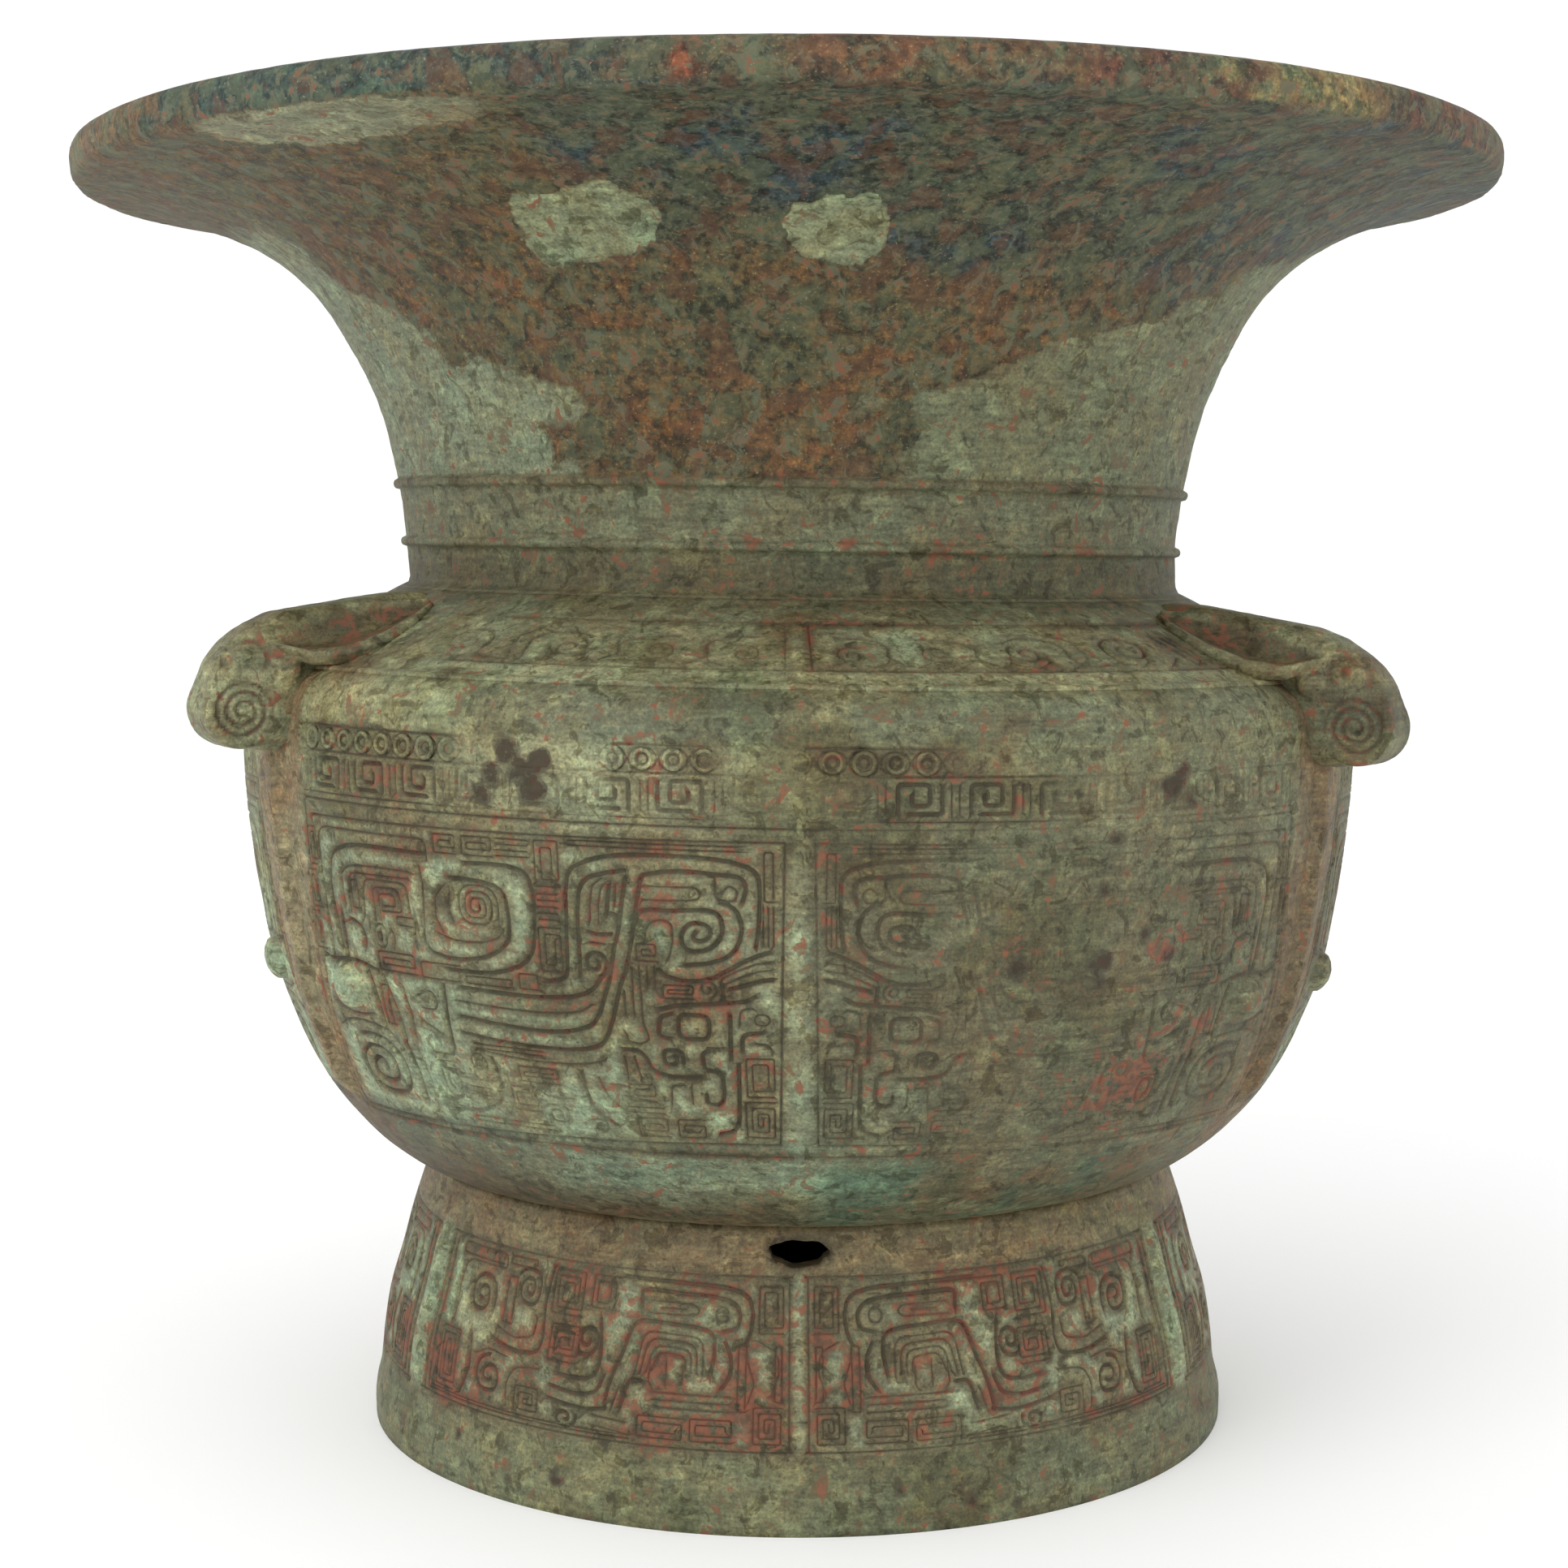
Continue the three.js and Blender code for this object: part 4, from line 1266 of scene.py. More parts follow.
        colour = blend(colour, (140, 155, 130), register * (1 - near) ** 1.3)
        colour = blend(colour, (76, 66, 46), near * (0.7 + 0.4 * n2))
        stain = -0.08 + near * (0.28 + 0.28 * n2) + foot * (0.08 + 0.24 * n2) + 0.1 * n3
        for at in (213.5, 227.5):
            stain += 0.3 * np.exp(-((level - at) / 2.4) ** 2) * (0.5 + 1.0 * n2)
        for a, z, size, share in self.STAINS:
            gap = np.hypot((wrapped - a) * 2.0, level - z) / size
            stain += 0.8 * share * ease(1.2, 0.3, gap + 0.4 * n3)
        under = ease(64.6, 66, level) * (1 - ease(80, 87, level))
        colour = blend(colour, t.teal, under * ease(-2, 6, folded) * ease(42, 36, folded)
                           * ease(-0.3, 0.3, n1 + 0.5 * n3) * 0.6)
        colour = blend(colour, t.brown, under * ease(-20, -40, folded) * 0.55)
        strip = ease(6.2, 4.8, np.abs(np.abs(folded) - 60)) * body
        colour = blend(colour, (120, 98, 74), strip * 0.75)
        flare = ease(226.8, 228.2, level)
        colour, bare, grain = self._flare(colour, flare, folded, level, n1, n2, n3)
        # Painted shade: darkens the crust and bare colours in each window of the table above, or lightens
        # them where the multiplier is above 1.
        for low, high, start, end, share in self.PAINTED_SHADE:
            window = ease(low - 1, low + 1, level) * ease(high + 1, high - 1, level)
            side = wrapped if share > 1 else folded
            window = window * ease(start - 3, start + 3, side) * ease(end + 3, end - 3, side)
            colour = colour * (1 - (1 - share) * window[:, None])
            bare = bare * (1 - (1 - share) * window[:, None])
        pit = np.zeros(len(level))
        for a, z, radius in self.PITS:
            gap = np.hypot((wrapped - a) * 2.3, level - z) + n3 * 2.2
            pit = np.maximum(pit, ease(radius * 1.35, radius * 0.4, gap))
        return np.clip(colour, 4, 250), np.clip(bare, 4, 250), np.stack([grain, np.clip(stain, 0, 1), pit])

    def _flare(self, colour: Array, flare: Array, folded: Array, level: Array, n1: Array, n2: Array,
               n3: Array) -> tuple[Array, Array, Array]:
        """Colours the trumpet mouth and its lip.

        Args:
            colour: The colours so far.
            flare: 1 on the mouth above the upper ring.
            folded: The angles, with the back folded over the front.
            level: The heights.
            n1: Broad noise.
            n2: Streaky noise.
            n3: Fine noise.

        Returns:
            The colours of the crust and of the bare patina, and the share of crust.
        """
        t = self.tints
        side_left, side_right = np.interp(level, *self.EDGE_LEFT), np.interp(level, *self.EDGE_RIGHT)
        warped = folded + n2 * 5.5 + n3 * 3.0
        smooth_left = ease(2.5, -2.5, warped - side_left)
        smooth_right = ease(-2.5, 2.5, warped - side_right)
        smooth = np.maximum(smooth_left, smooth_right) * (1 - ease(284, 290, level + 2 * n2))
        smooth = smooth * flare
        bare = blend(colour, t.grey_green, smooth_left * smooth * (0.8 + 0.2 * n1))
        bare = blend(bare, (107, 110, 86), smooth_right * smooth * (0.9 + 0.1 * n1))
        rusty = flare * ease(-0.3, 0.5, n2 + 0.5 * n3) * 0.55 * ease(285, 262, level)
        colour = blend(colour, t.rust, rusty)
        colour = blend(colour, (84, 86, 66), flare * ease(0.0, 0.5, -n2 + 0.4 * n1) * 0.55)
        reach = level + 5 * n1 + 3 * n2 + 9 * ease(2, 16, folded) * ease(62, 50, folded)
        blue = flare * ease(-22, -14, folded + 5 * n1) * ease(272, 281, reach)
        colour = blend(colour, (70, 78, 72), blue * 0.8)
        colour = blend(colour, t.azure, blue * ease(0.0, 0.6, n2 + 0.3 * n3) * 0.85)
        colour = blend(colour, (104, 92, 68), blue * ease(0.3, 0.8, n3 - 0.3 * n2) * 0.6)
        for a, z, wide, tall in ((-20.5, 278.5, 8.2, 7.2), (5.0, 276.6, 5.2, 7.4)):
            gap = np.hypot((folded - a) / wide, (level - z) / tall) + 0.22 * n3 + 0.2 * n2
            patch = ease(1.06, 0.92, gap) * flare
            bare = blend(bare, (124, 130, 104), patch)
            smooth = np.maximum(smooth, patch)
        olive = ease(1.1, 0.85, np.hypot((folded + 35) / 13, (level - 296.6) / 2.6) + 0.2 * n3)
        bare = blend(bare, (126, 123, 100), olive * flare)
        smooth = np.maximum(smooth, olive)
        lip = ease(298.2, 299.6, level) * (0.75 + 0.25 * n3)
        around = folded + 3.5 * n3 + 4.0 * n2
        colour = blend(colour, (98, 86, 66), lip * 0.8)
        for start, end, tint, share in self.LIP:
            span = ease(start - 2, start + 2, around) * ease(end + 2, end - 2, around)
            colour = blend(colour, tint, lip * span * share)
        colour = blend(colour, t.teal, lip * ease(0.15, 0.6, n3) * 0.5)
        colour = blend(colour, t.brown, lip * ease(0.1, 0.6, -n3 + 0.3 * n1) * 0.6)
        colour = blend(colour, (148, 68, 48), lip * ease(1.3, 0.6, np.abs(folded + 6.2) + 0.4 * n3) * 0.85)
        return colour * (1 - 0.07 * flare[:, None]), bare, np.clip(flare * (1 - smooth), 0, 1)


class Graph:
    """A material's node tree, with a short way to add each kind of node."""

    def __init__(self, name: str) -> None:
        """Starts a material.

        Args:
            name: The material's name.
        """
        self.material = bpy.data.materials.new(name)
        self.material.use_nodes = True
        self.tree = self.material.node_tree
        self.shader = self.tree.nodes["Principled BSDF"]

    def feed(self, value: object, socket: Socket) -> None:
        """Links a socket, or sets a plain value.

        Args:
            value: The socket or the value.
            socket: What takes it.
        """
        if isinstance(value, Socket):
            self.tree.links.new(value, socket)
        else:
            socket.default_value = value

    def read(self, name: str, output: str = "Fac") -> Socket:
        """Reads one of the mesh's own attributes.

        Args:
            name: The attribute's name.
            output: The output to use.

        Returns:
            Its value.
        """
        node = self.tree.nodes.new("ShaderNodeAttribute")
        node.attribute_name = name
        return node.outputs[output]

    def noise(self, scale: float, detail: float, bend: float = 0.0,
              stretch: tuple = (1.0, 1.0, 1.0)) -> Socket:
        """Adds noise on the piece's own coordinates.

        Args:
            scale: How fine it is.
            detail: How many finer layers it has.
            bend: How much it is distorted.
            stretch: The scale along each axis.

        Returns:
            Its value.
        """
        node = self.tree.nodes.new("ShaderNodeTexNoise")
        for key, value in (("Scale", scale), ("Detail", detail), ("Roughness", 0.62), ("Distortion", bend)):
            node.inputs[key].default_value = value
        spot = self.tree.nodes.new("ShaderNodeTexCoord")
        sized = self.tree.nodes.new("ShaderNodeMapping")
        sized.inputs["Scale"].default_value = stretch
        self.tree.links.new(spot.outputs["Object"], sized.inputs["Vector"])
        self.tree.links.new(sized.outputs["Vector"], node.inputs["Vector"])
        return node.outputs["Fac"]

    def math(self, kind: str, one: object, two: object) -> Socket:
        """Adds a sum or product.

        Args:
            kind: ADD or MULTIPLY.
            one: The first value.
            two: The second value.

        Returns:
            The result.
        """
        node = self.tree.nodes.new("ShaderNodeMath")
        node.operation = kind
        self.feed(one, node.inputs[0])
        self.feed(two, node.inputs[1])
        return node.outputs[0]

    def span(self, value: object, *limits: float) -> Socket:
        """Maps a value softly from one range to another.

        Args:
            value: The value.
            limits: The two ends of the range that it has, and of the one that it gets.

        Returns:
            The result.
        """
        node = self.tree.nodes.new("ShaderNodeMapRange")
        node.interpolation_type = "SMOOTHSTEP"
        self.feed(value, node.inputs["Value"])
        for key, limit in zip(("From Min", "From Max", "To Min", "To Max"), limits):
            node.inputs[key].default_value = limit
        return node.outputs["Result"]

    def mix(self, kind: str, share: object, one: object, two: object) -> Socket:
        """Blends two colours.

        Args:
            kind: MIX or MULTIPLY.
            share: How much of the second colour shows.
            one: The first colour.
            two: The second colour.

        Returns:
            The result.
        """
        node = self.tree.nodes.new("ShaderNodeMix")
        node.data_type = "RGBA"
        node.blend_type = kind
        for key, value in ((0, share), (6, one), (7, two)):
            self.feed(value, node.inputs[key])
        return node.outputs[2]

    def ramp(self, value: Socket, stops: Sequence[tuple]) -> Socket:
        """Turns a value into a colour.

        Args:
            value: The value.
            stops: Places from 0 to 1, each with its colour.

        Returns:
            The colour.
        """
        node = self.tree.nodes.new("ShaderNodeValToRGB")
        while len(node.color_ramp.elements) < len(stops):
            node.color_ramp.elements.new(0.5)
        for element, (place, shade) in zip(node.color_ramp.elements, stops):
            element.position = place
            element.color = tuple(float(c) for c in shade[:3]) + (1.0,)
        self.tree.links.new(value, node.inputs["Fac"])
        return node.outputs["Color"]


def tint(red: float, green: float, blue: float) -> tuple:
    """A screen colour as a socket's value."""
    return tuple(float(part) for part in linear(red, green, blue)) + (1.0,)


@dataclass(frozen=True)
class PatinaFinish:
    """How rough and how grained one part of the bronze is."""

    name: str
    rough: float = 0.62
    bump: float = 0.6
    speckle: float = 0.5
    specular: float = 0.35
    TONE = ((0.36, (0.6, 0.6, 0.57)), (0.46, (0.9, 0.9, 0.88)), (0.55, (1.08, 1.08, 1.06)),
            (0.66, (1.46, 1.46, 1.4)))
    SAND = ((0.3, (0.6, 0.58, 0.56)), (0.5, (1.0, 1.0, 1.0)), (0.7, (1.4, 1.4, 1.34)))
    LINES = ((0.38, (0.72, 0.7, 0.66)), (0.5, (1.0, 1.0, 1.0)), (0.62, (1.24, 1.24, 1.2)))
    HUE = ((0.38, (0.91, 1.04, 0.99)), (0.5, (0.98, 1.01, 0.95)), (0.62, (1.05, 0.96, 0.8)))
    FLECK = ((0.4, (0.5, 0.56, 0.5)), (0.48, (0.84, 0.84, 0.78)), (0.52, (1.12, 1.02, 0.88)),
             (0.62, (1.36, 1.16, 0.96)))

    def build(self) -> Finish:
        """Makes the finish as a node material.

        Returns:
            The material.
        """
        g = Graph(self.name)
        g.shader.inputs["Specular IOR Level"].default_value = self.specular
        paint, grain = g.read("patina", "Color"), g.read("grain")
        groove, stain = g.read("groove"), g.read("stain")
        middle, fine, wide = g.noise(460.0, 9.0), g.noise(1500.0, 3.0), g.noise(62.0, 7.0)
        patch, scab = g.noise(130.0, 12.0, 0.3), g.noise(210.0, 12.0, 0.8)
        streak = g.noise(130.0, 6.0, 0.4, (1.0, 1.0, 6.0))
        edge = g.math("ADD", grain, g.span(patch, 0.35, 0.65, -0.35, 0.35))
        crust = g.span(edge, 0.42, 0.52, 0.0, 1.0)
        colour = g.mix("MIX", crust, g.read("bare", "Color"), paint)
        for source, share, stops in ((middle, 0.8, self.TONE), (fine, 0.8, self.SAND),
                                     (streak, 0.7, self.LINES), (wide, 0.85, self.HUE)):
            colour = g.mix("MULTIPLY", share, colour, g.ramp(source, stops))
        for kind, source, limits, shade in (
                ("MULTIPLY", patch, (0.555, 0.58, 0.0, 0.85), (1.34, 1.38, 1.34, 1.0)),
                ("MULTIPLY", scab, (0.44, 0.4, 0.0, 0.9), (0.54, 0.5, 0.42, 1.0)),
                ("MIX", scab, (0.585, 0.61, 0.0, 0.6), tint(98, 80, 56))):
            colour = g.mix(kind, g.span(source, *limits), colour, shade)
        amount = g.math("MULTIPLY", crust, self.speckle)
        colour = g.mix("MULTIPLY", amount, colour, g.ramp(middle, self.FLECK))
        for source, limits, shade in (
                (patch, (0.52, 0.56, 0.0, 0.5), tint(80, 88, 64)),
                (patch, (0.47, 0.44, 0.0, 0.4), tint(104, 68, 48)),
                (scab, (0.55, 0.59, 0.0, 0.45), tint(104, 112, 88)),
                (fine, (0.64, 0.7, 0.0, 0.4), tint(172, 160, 128))):
            colour = g.mix("MIX", g.math("MULTIPLY", amount, g.span(source, *limits)), colour, shade)
        spread = g.math("ADD", g.span(middle, 0.3, 0.7, -0.3, 0.3), g.span(scab, 0.3, 0.7, -0.45, 0.45))
        red = g.span(g.math("ADD", stain, spread), 0.4, 0.56, 0.0, 0.7)
        rouge = g.mix("MIX", g.span(middle, 0.4, 0.6, 0.0, 1.0), tint(88, 58, 42), tint(130, 75, 55))
        colour = g.mix("MIX", red, colour, rouge)
        rusty = g.span(g.math("ADD", stain, spread), 0.1, 0.5, 0.0, 1.0)
        line = g.mix("MIX", rusty, tint(62, 57, 42), tint(92, 54, 42))
        depth = g.math("ADD", groove, g.span(middle, 0.35, 0.65, -0.25, 0.25))
        colour = g.mix("MIX", g.span(depth, 0.2, 0.95, 0.0, 0.72), colour, line)
        worn = g.math("ADD", g.math("ADD", groove, spread), g.span(fine, 0.3, 0.7, -0.35, 0.35))
        colour = g.mix("MIX", g.span(worn, 1.3, 1.6, 0.0, 0.75), colour, tint(50, 39, 24))
        g.feed(colour, g.shader.inputs["Base Color"])
        g.feed(g.span(middle, 0.3, 0.7, self.rough - 0.1, self.rough + 0.14), g.shader.inputs["Roughness"])
        pores = g.math("MULTIPLY", middle, 0.6)
        scabs = g.math("MULTIPLY", scab, g.span(grain, 0.0, 1.0, 0.8, 1.8))
        bump = g.tree.nodes.new("ShaderNodeBump")
        g.feed(self.bump, bump.inputs["Strength"])
        g.feed(0.0006, bump.inputs["Distance"])
        g.feed(g.math("ADD", pores, scabs), bump.inputs["Height"])
        g.feed(bump.outputs["Normal"], g.shader.inputs["Normal"])
        return g.material


@dataclass
class Belly:
    """The belly with its three masks, from the joint to the line under the shoulder."""

    columns: int = 360
    step: float = 2.0
    inner_columns: int = 180
    floor_top: float = 71.5
    floor_under: float = 60.5
    middle: float = 130.0
    REGISTER_LEFT = (
        (-58, 0.7), (-53, 1.0), (-1, 1.0), (1, 0.7), (12, 0.6), (18, 0.3), (33, 0.3), (40, 0.6), (58, 0.6),
    )
    SCROLLS_LEFT = (
        (-53, 0.5), (-50, 1.0), (-36, 1.0), (-33, 0.4), (-18, 0.35), (-16, 0.8), (-8, 0.7), (-6, 0.3),
        (6, 0.3), (8, 0.9), (21, 0.8), (24, 0.3), (58, 0.4),
    )
    RINGS_LEFT = (
        (-53, 0.6), (-50, 1.0), (-34, 0.9), (-31, 0.12), (-18, 0.12), (-16, 0.75), (-8, 0.75), (-6, 0.12),
        (-2, 0.12), (0, 0.75), (12, 0.7), (15, 0.12), (58, 0.2),
    )

    def rise(self, angle: Array, level: Array) -> Array:
        """The nose ridges' height on the plain skin.

        Args:
            angle: Degrees from the front seam.
            level: Heights in mm.

        Returns:
            How far the skin stands out, in mm.
        """
        half = BellyCarving.RIDGE_HALF
        ridge = ease(half, half * 0.45, from_seam(angle + 180.0))
        ends = ease(85.5, 92.0, level) * (1 - ease(171.0, 172.6, level))
        place = circle(np.radians(angle), self.middle, level)
        crust = Mottle(57).at(place, 7, 3) * (0.14 + 0.14 * ease(152, 158, level) * ease(175, 172, level))
        return BellyCarving.RIDGE_RISE * ridge * ends + seam_ridge(angle) + crust

    def wear(self, angle: Array, level: Array) -> Array:
        """How much of each groove is left: crisp at the left, worn at the right.

        Args:
            angle: Degrees from the front seam.
            level: Heights in mm.

        Returns:
            Shares from 0.08 to 1.
        """
        worn = Mottle(51).at(circle(np.radians(angle), self.middle, level), 34, 3)
        wrapped = (angle + 180) % 360 - 180
        left = np.interp(wrapped, *zip(*self.REGISTER_LEFT))
        left = np.where(level > 157, np.interp(wrapped, *zip(*self.SCROLLS_LEFT)), left)
        left = np.where(level > 167.4, np.interp(wrapped, *zip(*self.RINGS_LEFT)), left)
        low = ease(108, 98, level) * ease(-8, -18, wrapped) * ease(-50, -40, wrapped)
        lost = np.where(wrapped < 0, 0.15, 0.3) * ease(0.1, 0.8, worn)
        return np.clip(left - 0.5 * low - lost, 0.08, 1.0)

    def build(self, painter: Painter, material: Finish) -> Piece:
        """Makes the belly.

        Args:
            painter: Works out its colours.
            material: Its finish.

        Returns:
            The piece.
        """
        carving, skin = BellyCarving(), Skin()
        low = skin.outer(SHAPE.levels(SHAPE.JOINT, carving.low, self.step), self.columns, self.rise)
        skin.panels(carving, self.rise, self.wear)
        high = skin.outer(SHAPE.levels(carving.high, SHAPE.SHOULDER_LINE, 1.3), self.columns, self.rise)
        top = self.floor_top
        inner = skin.plain([(126.6, SHAPE.SHOULDER_LINE - 0.6)], self.columns)
        wall = [(SHAPE.radius(v) - SHAPE.WALL - 0.3, v) for v in SHAPE.levels(top + 4, 181.0, 4.0)[::-1]]
        floor = ((96, 72.8), (84, 70.4), (66, top - 2.2), (44, top - 3), (20, top - 3.2))
        inner += skin.plain([*wall, *floor], self.inner_columns)
        skin.chain([high[-1], *inner])
        skin.cap(inner[-1], top - 3.3)
        under = skin.plain([(86.5, 64.0)], self.columns)
        low_floor = ((84, 63.2), (60, self.floor_under + 1), (25, self.floor_under))
        under += skin.plain(low_floor, self.inner_columns)
        skin.chain([low[0], *under])
        skin.cap(under[-1], self.floor_under)
        return skin.build("zun_belly", painter, material)


@dataclass
class Shoulder:
    """The sloping shoulder with its scrolls, up to the neck's foot."""

    columns: int = 360
    register_low: float = 187.4
    register_high: float = 197.6
    middle: float = 115.0
    FINE_LEVELS = (184.2, 184.4, 184.6, 184.8, 185.0, 186.6, 186.8, 187.0, 187.2)
    INSIDE = ((92.6, 198.6), (100, 195.6), (112, 189.4), (122, 183.8), (125.8, 181.6), (126.4, 182.6))

    def rise(self, angle: Array, level: Array) -> Array:
        """The raised lines of the shoulder.

        Args:
            angle: Degrees from the front seam.
            level: Heights in mm.

        Returns:
            How far the skin stands out, in mm.
        """
        line = ease(0.55, 0.2, np.abs(level - 184.6)) * 0.45
        return line + ease(0.5, 0.2, np.abs(level - 187.0)) * 0.3 + seam_ridge(angle)

    def wear(self, angle: Array, level: Array) -> Array:
        """How much of each groove is left.

        Args:
            angle: Degrees from the front seam.
            level: Heights in mm.

        Returns:
            Shares from 0.15 to 1.
        """
        worn = Mottle(53).at(circle(np.radians(angle), self.middle, level * 2), 26, 3)
        wrapped = (angle + 180) % 360 - 180
        return np.clip(np.where(wrapped < 0, 0.55, 0.95) - 0.5 * ease(0.0, 0.8, worn), 0.15, 1)

    def build(self, painter: Painter, material: Finish) -> Piece:
        """Makes the shoulder.

        Args:
            painter: Works out its colours.
            material: Its finish.

        Returns:
            The piece.
        """
        run = np.interp([self.register_low, self.register_high], SHAPE.line[:, 1], SHAPE.length)
        carving, skin = ShoulderCarving(float(run[1] - run[0])), Skin()
        even = np.round(SHAPE.levels(SHAPE.SHOULDER_LINE, self.register_low, 1.2), 3)
        low = skin.outer(sorted(set(even) | set(self.FINE_LEVELS)), self.columns, self.rise)
        skin.panels(carving, self.rise, self.wear,
                    lambda up: np.interp(run[0] + up, SHAPE.length, SHAPE.line[:, 1]))
        high = skin.outer(SHAPE.levels(self.register_high, SHAPE.NECK_FOOT, 1.3), self.columns, self.rise)
        inner = skin.plain([(90.4, SHAPE.NECK_FOOT - 1.4), *self.INSIDE], self.columns)
        skin.chain([high[-1], *inner, low[0]])
        return skin.build("zun_shoulder", painter, material)


@dataclass
class Mouth:
    """The neck with its two rings, the trumpet mouth and the thick lip."""

    columns: int = 720
    step: float = 1.5
    inner_columns: int = 360
    ring_levels: tuple = (212.7, 226.4)
    ring_half: float = 1.3
    ring_rise: float = 1.35
    INSIDE = (
        (164.2, SHAPE.RIM - 1.0), (160, 303.4), (152, 300.2), (144, 297), (134, 292.4), (124, 286),
        (115, 278.4), (108, 269.6), (102.6, 260), (98.4, 250), (95.2, 240), (92.8, 230), (91.2, 220),
        (90.2, 210), (90.0, 203), (90.2, SHAPE.NECK_FOOT - 1.0),
    )

    def rise(self, angle: Array, level: Array) -> Array:
        """The neck rings, and the uneven crust of the mouth.

        Args:
            angle: Degrees from the front seam.
            level: Heights in mm.

        Returns:
            How far the skin stands out, in mm.
        """
        height = np.zeros(len(level))
        for at in self.ring_levels:
            height += self.ring_rise * np.sqrt(np.clip(1 - ((level - at) / self.ring_half) ** 2, 0, 1))
        place = circle(np.radians(angle), SHAPE.radius(level), level)
        crust = Mottle(61).at(place, 3.4, 2) * 0.16 + Mottle(62).at(place, 14, 3) * 0.16
        grip = ease(203, 206, level) * (1 - ease(304, 306, level) * 0.75)
        inset = -0.25 * ease(299.0, 301.0, level) + seam_ridge(angle) * ease(232, 224, level)
        return height + np.clip(crust * grip, -0.4, 0.05 + 0.35 * (1 - ease(292, 299, level))) + inset

    def build(self, painter: Painter, material: Finish) -> Piece:
        """Makes the mouth.

        Args:
            painter: Works out its colours.
            material: Its finish.

        Returns:
            The piece.
        """
        skin = Skin()
        extra = [at + self.ring_half * k / 3 for at in self.ring_levels for k in range(-3, 4)]
        levels = SHAPE.levels(SHAPE.NECK_FOOT, SHAPE.RIM, self.step, extra)
        rings = skin.outer(levels, self.columns, self.rise)
        inner = skin.plain([(165.4, SHAPE.RIM - 0.2)], self.columns)
        inner += skin.plain(self.INSIDE, self.inner_columns)
        skin.chain([rings[-1], *inner, rings[0]])
        return skin.build("zun_mouth", painter, material)


